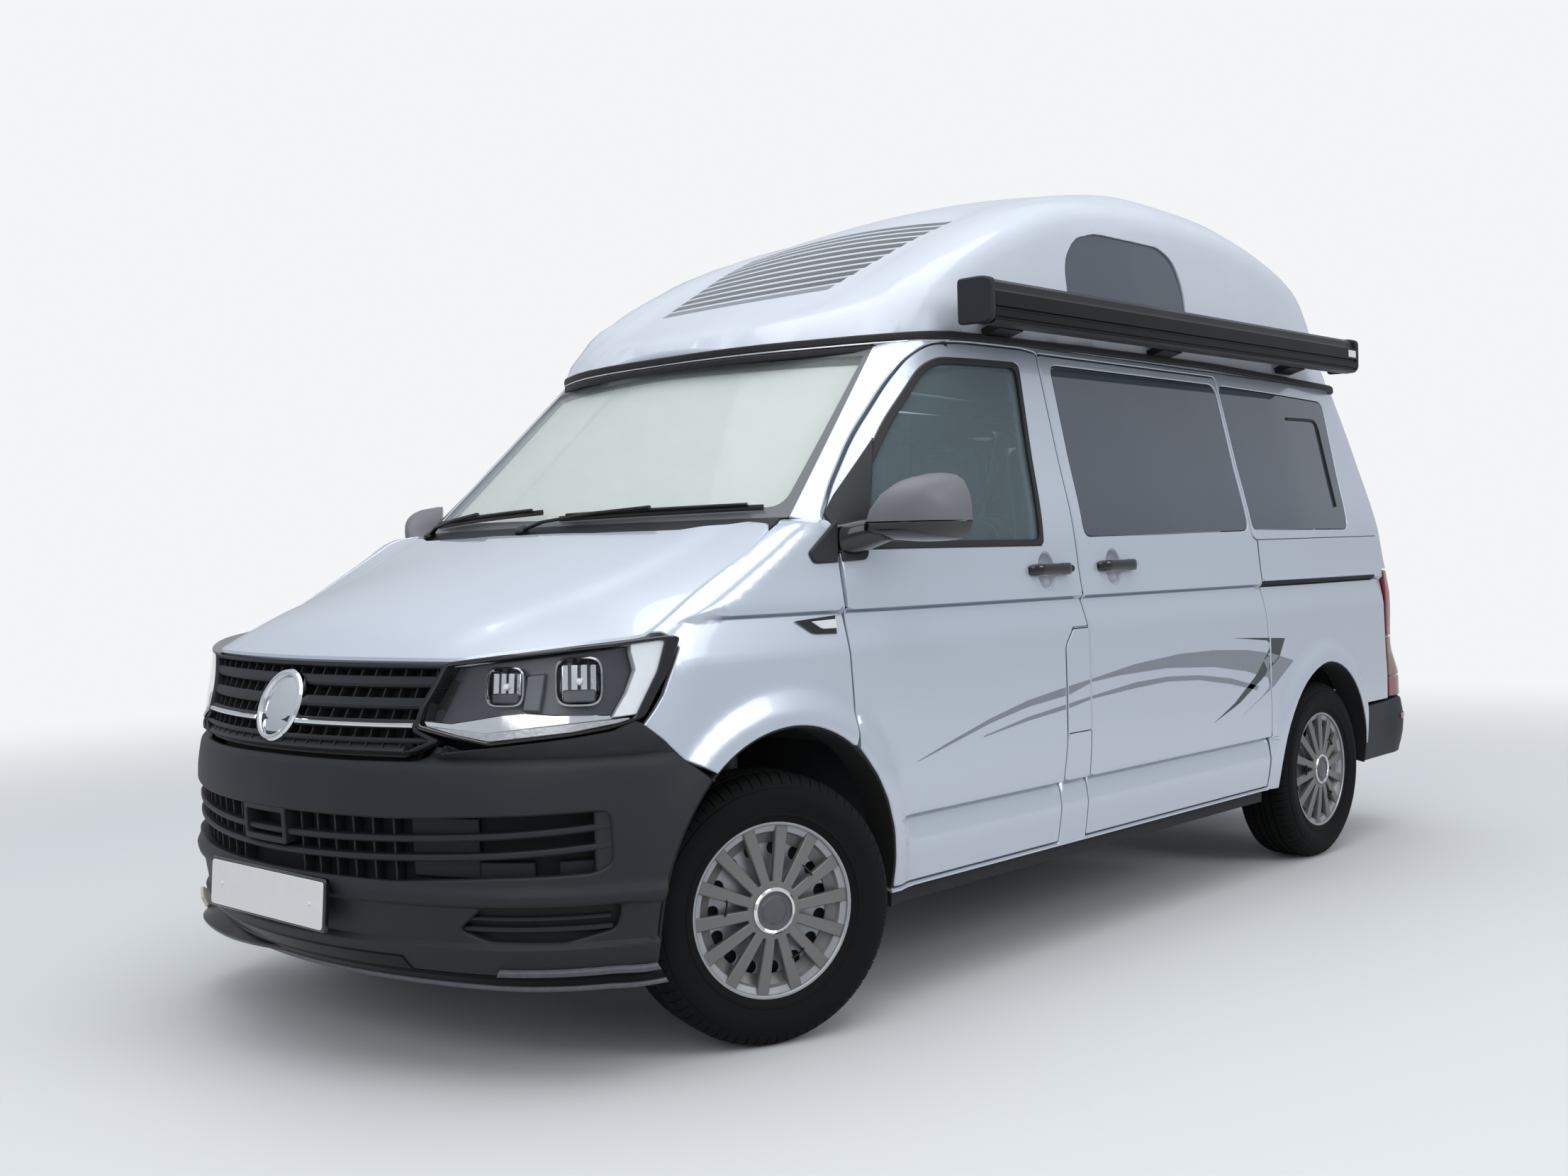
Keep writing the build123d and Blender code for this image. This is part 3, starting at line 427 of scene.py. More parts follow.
def shell(skin, outline, holes=(), depth=(0, 40), step=30, edge=2.5, rows=(), hand=1):
    """A closed panel that follows a skin between two depths, with rounded rims round its outline and holes."""
    loops = [turned(divided(outline, step * 0.6), 1)] + [turned(divided(h, step * 0.6), -1) for h in holes]
    rims = [moved_in(loop, edge) for loop in loops]
    low, high = loops[0].min(0), loops[0].max(0)
    kept_rows = [z for z in rows if low[1] < z < high[1]]
    heights = np.unique(np.concatenate([np.arange(low[1] + step / 2, high[1], step), kept_rows]))
    runs = np.arange(low[0] + step / 2, high[0], step)
    grid = np.array([(r + (step / 2 if k % 2 else 0), z) for k, z in enumerate(heights) for r in runs]).reshape(-1, 2)
    keep = inside(grid, loops[0])
    for hole in loops[1:]:
        keep &= ~inside(grid, hole)
    grid = grid[keep]
    if len(grid):
        close = np.min([nearness(grid, loop) for loop in loops], axis=0)
        grid = grid[close > np.where(np.isin(grid[:, 1], rows), 5, step * 0.4)]
    flat = np.concatenate(rims + [grid])
    starts = np.cumsum([0] + [len(r) for r in rims])
    edges = [(s + k, s + (k + 1) % len(r)) for s, r in zip(starts, rims) for k in range(len(r))]
    for k in np.flatnonzero(np.isin(grid[:-1, 1], rows)):
        if grid[k, 1] == grid[k + 1, 1] and 0 < grid[k + 1, 0] - grid[k, 0] < step * 1.2:
            edges.append((int(starts[-1]) + int(k), int(starts[-1]) + int(k) + 1))
    points, _, triangles, sources, _, _ = delaunay_2d_cdt([Vector(p) for p in flat], edges, [], 0, 1e-4)
    points = np.array([tuple(p) for p in points])
    triangles = np.array([t for t in triangles if len(t) == 3])
    middle = points[triangles].mean(1)
    keep = inside(middle, rims[0])
    for rim in rims[1:]:
        keep &= ~inside(middle, rim)
    triangles = triangles[keep]
    index = {s: k for k, found in enumerate(sources) for s in found}
    count = len(points)
    verts = [skin.at(points, depth[0]), skin.at(points, depth[1])]
    faces = [tuple(t) for t in triangles] + [tuple(count + t[::-1]) for t in triangles]
    base = 2 * count
    for start, loop in zip(starts, loops):
        n = len(loop)
        verts += [skin.at(loop, depth[0] + edge), skin.at(loop, max(depth[1] - edge, depth[0] + edge))]
        rings = [[index[start + k] for k in range(n)], range(base, base + n), range(base + n, base + 2 * n)]
        rings.append([count + index[start + k] for k in range(n)])
        for a, b in zip(rings, rings[1:]):
            faces += [(a[k], a[(k + 1) % n], b[(k + 1) % n], b[k]) for k in range(n)]
        base += 2 * n
    verts = np.concatenate(verts)
    if hand < 0:
        verts = verts * [-1, 1, 1]
    return verts, faces


def panel(skin, outline, holes=(), **how):
    """A shell whose outline is given in real widths or lengths instead of runs."""
    return shell(skin, skin.outline(outline), holes, **how)


def make_piece(name, shells, material, body="van", replaces=None, sharp=32):
    """One object from several closed shells, given in millimetres."""
    mesh = bpy.data.meshes.new(name)
    verts, faces, base = [], [], 0
    for points, polygons in shells:
        verts.append(np.asarray(points) / 1000)
        faces += [tuple(base + int(i) for i in polygon) for polygon in polygons]
        base += len(points)
    mesh.from_pydata(np.concatenate(verts).tolist(), [], faces)
    work = bmesh.new()
    work.from_mesh(mesh)
    bmesh.ops.remove_doubles(work, verts=work.verts, dist=1e-6)
    bmesh.ops.recalc_face_normals(work, faces=work.faces)
    for face in work.faces:
        face.smooth = True
    limit = math.radians(sharp)
    for edge in work.edges:
        edge.smooth = len(edge.link_faces) == 2 and edge.calc_face_angle(0) < limit
    work.to_mesh(mesh)
    work.free()
    piece = link_object(name, mesh)
    mesh.materials.append(material)
    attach(piece, body)
    if replaces:
        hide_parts(replaces)
    return piece


def finish(name, colours, grain, roughness, bump=0.0, metallic=0.0, **sockets):
    """A surface whose colour and roughness drift over grain millimetres between two values."""
    material = bpy.data.materials.new(name)
    material.use_nodes = True
    tree = material.node_tree
    shader = tree.nodes["Principled BSDF"]
    where = add(tree, "ShaderNodeTexCoord")
    noise = add(tree, "ShaderNodeTexNoise", {"Vector": where.outputs["Object"], "Scale": 1000 / grain, "Detail": 3.0})
    shade = add(
        tree, "ShaderNodeMix", {0: noise.outputs[0], 6: linear(colours[0]), 7: linear(colours[1])}, data_type="RGBA",
    )
    rough = add(tree, "ShaderNodeMapRange", {0: noise.outputs[0], 3: roughness[0], 4: roughness[1]})
    tree.links.new(shade.outputs[2], shader.inputs["Base Color"])
    tree.links.new(rough.outputs[0], shader.inputs["Roughness"])
    if bump:
        relief = add(tree, "ShaderNodeBump", {"Height": noise.outputs[0], "Strength": 1.0, "Distance": bump / 1000})
        tree.links.new(relief.outputs[0], shader.inputs["Normal"])
    shader.inputs["Metallic"].default_value = metallic
    for key, value in sockets.items():
        shader.inputs[key.replace("_", " ").title().replace("Ior", "IOR")].default_value = value
    return material


# Silver metallic base coat under clear lacquer: aluminium flake drifts a little in tone, drawn at 2 mm to show.
silver_paint = finish(
    "silver metallic lacquered paint", ("#c3cad5", "#c8cfda"), 2, (0.25, 0.28), metallic=0.35, coat_weight=1.0,
    coat_roughness=0.04,
)
# Seals and bars read as dull near black, the grained plastic as a softer charcoal, the glass as dark and mirror-like.
rubber = finish("black moulded EPDM rubber", ("#0b0b0c", "#141415"), 6, (0.55, 0.7), bump=0.1)
grained = finish(
    "charcoal grained polypropylene", ("#1d2024", "#24272b"), 1.5, (0.5, 0.6), bump=0.12, specular_ior_level=0.35,
)
# The tinted glass is dark from its tint, and its base colour is lifted above that as a painted sky reflection.
dark_glass = finish(
    "privacy tinted glass with painted sky reflection", ("#3a414c", "#454c58"), 400, (0.03, 0.05), coat_weight=0.6, coat_roughness=0.02,
)
# The door glass's pale bluish grey is partly a painted sky reflection.
clear_glass = finish(
    "toughened glass with painted bluish sky reflection", ("#8fa3aa", "#9aadb4"), 300, (0.01, 0.03), transmission_weight=0.6, ior=1.05,
    alpha=0.45, coat_weight=0.6,
)

side_skin = Skin(CABIN_LEVELS, "side", 225, 1830, -1900, 2600, side_relief)
CREASE_ROWS = (950, 1040, 1050, 1055, 1060, 1075, 425, 440, 470, 495, 500, 505, 510, 515)
GAP = 6
DOOR = [
    (-1353, 1294), (-1285, 1376), (-1153, 1514), (-979, 1673), (-882, 1750), (-798, 1790), (-690, 1801), (-360, 1806),
    (-292, 1799), (-284, 1240), (-270, 1060), (-248, 966), (-330, 966), (-376, 912), (-376, 645), (-393, 500),
    (-403, 330),
    (-1194, 330), (-1194, 400), (-1207, 485), (-1236, 565), (-1274, 630), (-1318, 684), (-1338, 706), (-1335, 812),
    (-1342, 947), (-1351, 1048), (-1359, 1180),
]
SLIDER = [
    (-282, 1797), (-274, 1240), (-260, 1060), (-238, 966), (-238, 645), (-247, 330),
    (955, 330), (967, 500), (940, 910), (913, 1060), (907, 1215), (868, 1232), (845, 1800),
]
DOOR_CORNERS = (
    20, 40, 60, 60, 60, 60, 40, 60, 14, 0, 0, 8, 8, 14, 10, 0, 8, 8, 20, 20, 20, 20, 20, 6, 20, 60, 60, 60,
)
SLIDER_CORNERS = (20, 0, 0, 0, 0, 8, 8, 0, 0, 0, 8, 20, 20)


def grown(outline, distance, corners=0):
    """An outline moved outwards, each corner then rounded."""
    points = np.asarray(outline, float)
    sense = 1 if signed_area(points) > 0 else -1
    return rounded(moved_in(points, -distance * sense), corners)


# ---------------- side frames
# Each flank is one steel pressing: pillars, roof rail, quarter panel and sill, welded to a rebated inner frame.
# It is painted on both faces, so the pillars look the same when the doors stand open.
REAR_WINDOW = [(884, 1252), (1752, 1254), (1768, 1768), (860, 1776)]
MIDDLE_WINDOW = [(-228, 1236), (846, 1250), (828, 1776), (-226, 1772)]
SLIDER_WINDOW = [(-228, 1236), (852, 1250), (835, 1776), (-226, 1772)]
WINDOW_CORNERS = (40, 40, 46, 40)
FLAP = [(-370, 651), (-244, 651), (-244, 960), (-327, 960), (-370, 908)]
SILL_Z, GUTTER_Z = 318, 1820
SIDES = (("left", 1), ("right", -1))


def arch_line(arch, start, stop, radius_more=0, count=26):
    """Points on a wheel arch, by angle in degrees, counted from the rear over the top."""
    angles = np.radians(np.linspace(start, stop, count))
    radius = arch[2] + radius_more
    return [
        (arch[0] + radius * math.cos(a) * (arch[3] if math.cos(a) > 0 else 1), arch[1] + radius * math.sin(a))
        for a in angles
    ]


def run_at_x(z, x, end):
    """The run where the flank's section is x wide, on its front or rear end."""
    at = float(np.clip((z - side_skin.up[0]) / 5, 0, len(side_skin.up) - 1.001))
    line = side_skin.grid[int(at)] * (1 - at % 1) + side_skin.grid[int(at) + 1] * (at % 1)
    part = side_skin.across < -300 if end == "front" else side_skin.across > 1500
    order = np.argsort(line[part, 0])
    return float(np.interp(x, line[part, 0][order], side_skin.across[part][order]))


def pillar_edge(count):
    """The windscreen pillar's inner edge from bonnet height to roof height."""
    return [(run_at_x(z, np.interp(z, (1296, 1788), (790, 678)), "front"), z) for z in np.linspace(1300, 1788, count)]


door_edge = grown(DOOR, GAP, DOOR_CORNERS)
turning = int(np.argmin(np.hypot(door_edge[:, 0] + 1200, door_edge[:, 1] - 324)))
door_edge = door_edge[: turning + 1][::-1]
flank = pillar_edge(16)
flank += [(run_at_x(GUTTER_Z, 672, "front"), GUTTER_Z)]
flank += [(run, GUTTER_Z) for run in np.linspace(flank[-1][0] + 40, run_at_x(GUTTER_Z, 640, "rear"), 40)]
flank += [
    (run_at_x(z, np.interp(z, (1000, 1240, 1772), (698, 682, 620)), "rear"), z) for z in np.linspace(1772, 1091, 20)
]
flank += side_skin.spots(
    [(2086, 1091)] + [(2086, z) for z in np.linspace(1060, 556, 14)] + [(1830, 556), (1830, 470), (1830, 400)]
)
flank += side_skin.spots(arch_line(REAR_ARCH, 0, 180)[1:] + [(1030, SILL_Z), (-1202, SILL_Z)])
flank += side_skin.spots(door_edge)
slider_hole = side_skin.outline(grown(SLIDER, GAP, SLIDER_CORNERS))
flap_hole = side_skin.outline(grown(FLAP, 3, 10))
rear_hole = side_skin.outline(rounded(REAR_WINDOW, WINDOW_CORNERS))
middle_hole = side_skin.outline(rounded(MIDDLE_WINDOW, WINDOW_CORNERS))
inner_door = side_skin.outline(grown(DOOR, -45, 20))
inner_slider = side_skin.outline(grown(SLIDER, -45, 20))
lining = pillar_edge(8)
lining += [(run, GUTTER_Z) for run in np.linspace(lining[-1][0] + 40, side_skin.run_of(GUTTER_Z, y=1830), 30)]
lining += side_skin.spots([(2050, 1240), (2060, 1000), (2060, 560), (1835, 556)])
lining += side_skin.spots(arch_line(REAR_ARCH, 0, 180, 4)[1:] + [(1026, SILL_Z + 4), (-1180, SILL_Z + 4)])
lining += side_skin.spots(arch_line(FRONT_ARCH, 0, 56, 4, 9)[1:] + [(-1330, 760), (-1330, 1262)])
for side, hand, holes, inner_holes in (
    ("left", 1, [slider_hole, flap_hole, rear_hole], [inner_door, inner_slider, rear_hole]),
    ("right", -1, [rear_hole, middle_hole], [inner_door, rear_hole, middle_hole]),
):
    outer = shell(side_skin, flank, holes, depth=(0, 46), rows=CREASE_ROWS, hand=hand)
    inner = shell(side_skin, lining, inner_holes, depth=(57, 94), step=60, hand=hand)
    make_piece("side_frame_skin_" + side, [outer, inner], silver_paint, replaces="side_frame_" + side)

# ---------------- front doors and sliding door
# Each door is an outer steel skin hemmed round an inner pressing, 46 mm deep overall.
# A rubber channel seals the drop glass of the front doors; the other panes are bonded flush.
DOOR_WINDOW = [(-1262, 1212), (-1212, 1408), (-1060, 1562), (-868, 1722), (-780, 1756), (-395, 1766), (-453, 1212)]
DOOR_WINDOW_CORNERS = (20, 60, 60, 80, 60, 30, 16)


def scoop_loop(y, z, share=1.0):
    """The oval mouth of a handle scoop, in runs and heights."""
    angles = np.linspace(0, 2 * math.pi, 36, endpoint=False)
    return np.column_stack([side_skin.run_of(z, y=y) + 44 * share * np.cos(angles), z + 56 * share * np.sin(angles)])


DOOR_SCOOP, SLIDER_SCOOP = (-454, 1137), (-80, 1142)
door_loop = side_skin.outline(rounded(DOOR, DOOR_CORNERS))
door_window = side_skin.outline(rounded(DOOR_WINDOW, DOOR_WINDOW_CORNERS))
door_pane = side_skin.outline(grown(DOOR_WINDOW, -19, DOOR_WINDOW_CORNERS))
slider_loop = side_skin.outline(rounded(SLIDER, SLIDER_CORNERS))
slider_window = side_skin.outline(rounded(SLIDER_WINDOW, WINDOW_CORNERS))
for side, hand in SIDES:
    body = "front_door_" + side
    door = shell(
        side_skin, door_loop, [door_window, scoop_loop(*DOOR_SCOOP)], depth=(0, 46), rows=CREASE_ROWS, hand=hand,
    )
    make_piece("front_door_skin_" + side, [door], silver_paint, body, replaces="front_door_" + side)
    seal = panel(
        side_skin, grown(DOOR_WINDOW, -0.5, DOOR_WINDOW_CORNERS), [door_pane], depth=(-2, 20), step=20, hand=hand,
    )
    make_piece("door_window_seal_" + side, [seal], rubber, body)
    pane = panel(side_skin, grown(DOOR_WINDOW, -12, DOOR_WINDOW_CORNERS), depth=(7, 12), step=60, edge=1, hand=hand)
    make_piece("door_pane_" + side, [pane], clear_glass, body, replaces="door_glass_" + side)
slider = shell(side_skin, slider_loop, [slider_window, scoop_loop(*SLIDER_SCOOP)], depth=(0, 46), rows=CREASE_ROWS)
make_piece("sliding_door_skin", [slider], silver_paint, replaces="sliding_door")


def bonded_pane(outline, hand=1):
    return panel(side_skin, grown(outline, -3.5, WINDOW_CORNERS), depth=(2.5, 9), step=70, edge=1.5, hand=hand)


make_piece("slider_pane", [bonded_pane(SLIDER_WINDOW)], dark_glass, replaces="slider_glass")
panes = [bonded_pane(REAR_WINDOW), bonded_pane(REAR_WINDOW, -1), bonded_pane(MIDDLE_WINDOW, -1)]
make_piece("side_panes", panes, dark_glass, replaces="side_glass")
flap = panel(side_skin, rounded(FLAP, 8), depth=(0, 8), edge=1.5)
make_piece("fuel_flap_skin", [flap], silver_paint, "fuel_flap", replaces="fuel_flap")

# ---------------- front bumper and lower grille
# One injection-moulded polypropylene cover, grained charcoal, clips to the wings and wraps round to the arches.
# It carries the number plate, the slatted lower intake and two fog lamp pockets closed by slatted blanks.
NOSE_STEPS = [
    (225, -2), (270, 0), (322, 4), (334, 6), (344, -6), (424, -6), (434, 6), (452, 9), (476, -3), (640, 0), (735, 0),
    (748, -6), (764, -20), (900, -20), (1100, -20),
]
BUMPER_ROWS = (326, 332, 338, 344, 424, 430, 436, 444, 452, 460, 468, 476, 738, 744, 752, 760)


def nose_relief(x, y, z):
    steps = np.interp(z, [p[0] for p in NOSE_STEPS], [p[1] for p in NOSE_STEPS])
    lip = ARCH_LIP * ramp(ARCH_LIP_WIDTH, 12, arch_distance(FRONT_ARCH, y, z)) * ramp(40, 490, z)
    return np.where(z < 770, steps, 0) * ramp(-1880, -1990, y) + ramp(560, 860, x) * lip


nose_skin = Skin(NOSE_LEVELS, "nose", 225, 1060, -1500, 1500, nose_relief)


def oblong(x0, z0, x1, z1):
    return [(x0, z0), (x1, z0), (x1, z1), (x0, z1)]


def both_halves(points):
    """A left half outline, from the centre line out and back to it, closed by its mirror image."""
    points = [tuple(p) for p in points]
    return points + [(-x, z) for x, z in points[::-1] if abs(x) > 1e-6]


half = [(0, 264)] + [(nose_skin.run_of(z, y=y), z) for y, z in arch_line(FRONT_ARCH, 195, 131, 0, 26) if z > 262]
half += [(1236, 678), (1149, 741), (1087, 790), (1030, 828), (1004, 838)]
half += nose_skin.spots([(849, 816), (798, 804), (650, 785), (560, 775), (470, 756), (300, 754), (150, 755)])
bumper_loop = both_halves(half + [(0, 756)])
INTAKE = [(0, 478), (440, 478), (700, 494), (930, 500), (975, 520), (970, 640), (700, 632), (440, 622), (0, 622)]
intake = rounded(both_halves(INTAKE), 26)
pocket = [(596, 372), (668, 428), (990, 426), (968, 368), (856, 346), (664, 348)]
pockets = [rounded(pocket, 20), rounded([(-x, z) for x, z in pocket], 20)]
bumper = [shell(nose_skin, bumper_loop, [intake] + pockets, depth=(0, 26), rows=BUMPER_ROWS, edge=4)]
for centre, thick in ((574, 15), (530, 15)):
    bend = [(run, centre + (0.000045 * run * run - 8) * 0.9) for run in np.linspace(-975, 975, 60)]
    strip = [(r, z - thick / 2) for r, z in bend] + [(r, z + thick / 2) for r, z in bend[::-1]]
    bumper.append(shell(nose_skin, strip, depth=(6, 44), step=16, edge=4))
for x in list(range(-920, -130, 62)) + list(range(122, 470, 62)):
    bumper.append(shell(nose_skin, oblong(x - 3, 470, x + 3, 636), depth=(22, 52), edge=1))
frame_square = oblong(-112, 536, 84, 626)
square_hole = rounded(grown(frame_square, -15), 6)
bumper.append(shell(nose_skin, rounded(frame_square, 8), [square_hole], depth=(0, 60), step=20))
for low, high in ((366, 378), (392, 402)):
    for hand in (1, -1):
        bumper.append(shell(nose_skin, oblong(600, low, 962, high), depth=(10, 26), step=20, edge=3, hand=hand))
make_piece("front_bumper_moulding", bumper, grained, replaces="front_bumper")

# Almost no light comes back from behind the slats; the black sheets set there, behind the wheel covers and in the
# rail slot are painted shade.
painted_shade_black = finish("black sheet painted as shade", ("#060607", "#0a0a0b"), 30, (0.75, 0.85))
backing = [shell(nose_skin, both_halves([(0, 466), (985, 480), (985, 650), (0, 640)]), depth=(54, 60), step=80)]
backing += [
    shell(nose_skin, rounded(oblong(580, 338, 1000, 436), 5), depth=(27, 31), step=60, hand=hand) for hand in (1, -1)
]
make_piece("bumper_backing", backing, painted_shade_black)
blanking = []
for low, high, top in ((470, 650, 622), (650, 790, 524), (850, 960, 524)):
    blanking.append(shell(nose_skin, oblong(low, 484, high, top), depth=(40, 50), step=60))
end_plate = [(934, 494), (980, 500), (976, 646), (934, 640)]
blanking += [shell(nose_skin, end_plate, depth=(7, 50), step=30, edge=4, hand=hand) for hand in (1, -1)]
make_piece("intake_blanking_plates", blanking, grained)

# ---------------- splitter
# A thin black ABS lip is screwed under the bumper, with scuffed grey wear strips along its front edge.
# Its right end stands out as a gloss winglet, chipped through to the white plastic.
# The lip reads as sharp and wet-looking, its edge as dull and rubbed, its end as broken and pale.
gloss_black = finish("gloss black ABS", ("#08080a", "#0e0e10"), 60, (0.08, 0.14), coat_weight=0.4)
worn_grey = finish("scuffed grey ABS edge", ("#4c5054", "#6a6e72"), 12, (0.35, 0.5), bump=0.1)
chipped = finish("chipped white ABS", ("#b8b6b0", "#dedcd6"), 14, (0.5, 0.7), bump=0.4)


def ring_faces(count, n, closed=False):
    """Faces joining count rings of n points, with end caps unless the rings close."""
    faces = []
    for k in range(count if closed else count - 1):
        a, b = k * n, (k + 1) % count * n
        faces += [(a + i, a + (i + 1) % n, b + (i + 1) % n, b + i) for i in range(n)]
    if not closed:
        faces += [tuple(range(n)), tuple(range((count - 1) * n, count * n))]
    return faces


def lofted(rings):
    """A solid through rings that have the same number of points."""
    return np.concatenate([np.asarray(r, float) for r in rings]), ring_faces(len(rings), len(rings[0]))


lip_black = finish("semi-gloss black ABS lip", ("#040405", "#080809"), 60, (0.2, 0.28), specular_ior_level=0.12)
lip = [shell(nose_skin, both_halves([(0, 236), (1028, 236), (1030, 262), (0, 262)]), depth=(-2, 60), step=30, edge=5)]
lip += [shell(nose_skin, oblong(-620, 266, 430, 306), depth=(-3, 10), step=26, edge=3)]
make_piece("splitter_lip", lip, lip_black, replaces="splitter")
strips = [shell(nose_skin, both_halves(oblong(0, 227, 1026, 239)), depth=(-7, 12), step=30, edge=3)]
strips.append(shell(nose_skin, [(655, 268), (1030, 268), (1030, 284), (672, 284)], depth=(-9, 4), step=26, edge=3))
make_piece("splitter_wear_strips", strips, worn_grey)
rings = []
for run in np.linspace(-1030, -60, 50):
    reach = np.interp(run, (-1030, -760, -480, -60), (72, 70, 44, 0))
    rise = np.interp(run, (-1030, -700, -400), (16, 12, 0))
    corners = ((236, 8), (236, 3 - reach), (239, -reach), (249, -reach), (252, 3 - reach), (252, 8))
    rings.append([nose_skin.at([(run, z + rise)], depth)[0] for z, depth in corners])
make_piece("splitter_far_winglet", [lofted(rings)], lip_black)
chip = [(-930, 256), (-810, 254), (-790, 270), (-806, 292), (-838, 310), (-868, 298), (-896, 306), (-926, 288)]
broken = shell(nose_skin, chip, depth=(-72, -60), step=12, edge=2.5)
make_piece("splitter_chipped_end", [broken], chipped)

# ---------------- number plate and badge
# The reflective acrylic plate is left blank and is screwed to a black holder.
# The badge is a plain domed disc in a chromed ring, clipped to the middle of the grille.
# The plate is an even bright white under a clear sheen; chrome mirrors floor and sky.
plate_white = finish(
    "blank white reflective acrylic plate", ("#e6e6e4", "#efefed"), 40, (0.18, 0.26), coat_weight=0.5,
)
chrome = finish("chromed ABS", ("#d4d7da", "#e2e4e6"), 90, (0.05, 0.1), metallic=1.0)


def standing(loop, y):
    """A flat loop of (x, z) points stood up at y."""
    return np.column_stack([loop[:, 0], np.full(len(loop), y), loop[:, 1]])


def slab(width, depth_mm, height_mm, radius, bevel=2):
    """A flat plate with rounded corners and edges, standing in XZ with its front facing -Y, centred on the origin."""
    w, h = width / 2, height_mm / 2
    loop = turned(rounded([(-w, -h), (w, -h), (w, h), (-w, h)], radius), 1)
    small = moved_in(loop, bevel)
    rings = [
        (small, -depth_mm / 2), (loop, -depth_mm / 2 + bevel), (loop, depth_mm / 2 - bevel), (small, depth_mm / 2),
    ]
    return lofted([standing(r, y) for r, y in rings])


def placed(part, at=(0, 0, 0), turn=(0, 0, 0)):
    """A shell's points turned in degrees about X, Y, Z and moved."""
    verts, faces = part
    spin = Euler([math.radians(angle) for angle in turn]).to_matrix()
    return np.asarray(verts) @ np.array(spin).T + np.array(at), faces


def turned_disc(profile, segments=48):
    """A closed lathe profile of (radius, y) points, turned about Y."""
    angles = 2 * math.pi * np.arange(segments) / segments
    verts = [(r * math.cos(angle), y, r * math.sin(angle)) for angle in angles for r, y in profile]
    return np.array(verts), ring_faces(segments, len(profile), True)


def swept(path, section, up=(0, 0, 1), closed=False):
    """A solid bar: a closed section of (side, up) points carried along a path of (x, y, z) points."""
    path = np.array(path, float)
    section = np.array(section, float)
    ahead = np.roll(path, -1, axis=0) - np.roll(path, 1, axis=0) if closed else np.gradient(path, axis=0)
    ahead /= np.linalg.norm(ahead, axis=1, keepdims=True)
    side = np.cross(ahead, np.array(up, float))
    side /= np.linalg.norm(side, axis=1, keepdims=True)
    top = np.cross(side, ahead)
    verts = path[:, None] + side[:, None] * section[None, :, 0:1] + top[:, None] * section[None, :, 1:2]
    count, n = len(path), len(section)
    return verts.reshape(-1, 3), ring_faces(count, n, closed)


def sided(part, hand):
    """A left-hand part, or its mirror image where hand is -1."""
    return np.asarray(part[0]) * [hand, 1, 1], part[1]


def oval(width, height_mm, count=16, power=2.0):
    """A rounded section centred on the origin; a higher power makes it squarer."""
    angle = np.linspace(0, 2 * math.pi, count, endpoint=False)
    c, q = np.cos(angle), np.sin(angle)
    return np.stack(
        [np.sign(c) * np.abs(c) ** (2 / power) * width / 2, np.sign(q) * np.abs(q) ** (2 / power) * height_mm / 2], 1,
    )


PLATE_Z, PLATE_TILT = 412, (-4, 0, 0)
holder = [placed(slab(534, 12, 124, 8), (0, -2449, PLATE_Z), PLATE_TILT)]
make_piece("plate_holder", holder, gloss_black)
plate = [placed(slab(520, 4, 111, 10, 1), (0, -2457, PLATE_Z), PLATE_TILT)]
make_piece("number_plate", plate, plate_white)
screw = turned_disc([(0.01, -3), (4, -2), (5.5, 0), (5.5, 2), (0.01, 2)], 16)
screws = [placed(screw, (x, -2459.5, PLATE_Z), PLATE_TILT) for x in (-205, 205)]
make_piece("plate_screws", screws, plate_white)
ring = [(92, 6), (92, -4), (88, -10), (82, -12), (77, -10), (74, -4), (74, 6)]
dome = [(0.01, -8), (30, -7.4), (55, -5), (73, -1), (73, 8), (0.01, 8)]
badge_at = (0, -2398, 864)
make_piece("badge_ring", [placed(turned_disc(ring, 72), badge_at, (-21, 0, 0))], chrome)
make_piece("badge_disc", [placed(turned_disc(dome, 72), badge_at, (-21, 0, 0))], chrome)

# ---------------- radiator grille
# Five grained black slats cross a row of thin upright ribs, moulded with them in one piece of polypropylene.
# A chromed strip is clipped along the middle slat on both sides of the badge.
GRILLE = [
    (-530, 971), (530, 971), (484, 880), (478, 826), (540, 800), (452, 762), (-452, 762), (-540, 800), (-478, 826),
    (-484, 880),
]
SLATS = ((932, 24), (884, 24), (838, 20), (800, 12), (770, 12))
grille_loop = nose_skin.outline(rounded(GRILLE, 10))
opening = nose_skin.outline(rounded(grown(GRILLE, -9), 8))
bars = [shell(nose_skin, grille_loop, [opening], depth=(2, 40), step=26, edge=3)]
for centre, tall in SLATS:
    reach = float(np.interp(centre, (762, 800, 826, 880, 971), (452, 530, 478, 484, 526)))
    low_line = [(x, centre - tall / 2) for x in np.linspace(-reach, reach, 30)]
    high_line = [(x, centre + tall / 2) for x in np.linspace(reach, -reach, 30)]
    bars.append(panel(nose_skin, low_line + high_line, depth=(4, 30), step=10, edge=5))
make_piece("grille_slats", bars, grained, replaces="grille")
ribs = []
for x in range(-500, 501, 50):
    ribs.append(shell(nose_skin, oblong(x - 2, 770, x + 2, 962), depth=(16, 44), step=60, edge=0.8))
make_piece("grille_ribs", ribs, grained)
# The black sheet behind the grille is painted shade.
backing = [
    shell(nose_skin, both_halves([(0, 752), (470, 760), (520, 830), (560, 970), (0, 975)]), depth=(46, 50), step=80)
]
make_piece("grille_backing", backing, painted_shade_black)
strip = [
    shell(nose_skin, oblong(a, 829, b, 839), depth=(-1, 6), step=14, edge=2.5) for a, b in ((-478, -92), (92, 478))
]
make_piece("grille_bright_strip", strip, chrome)

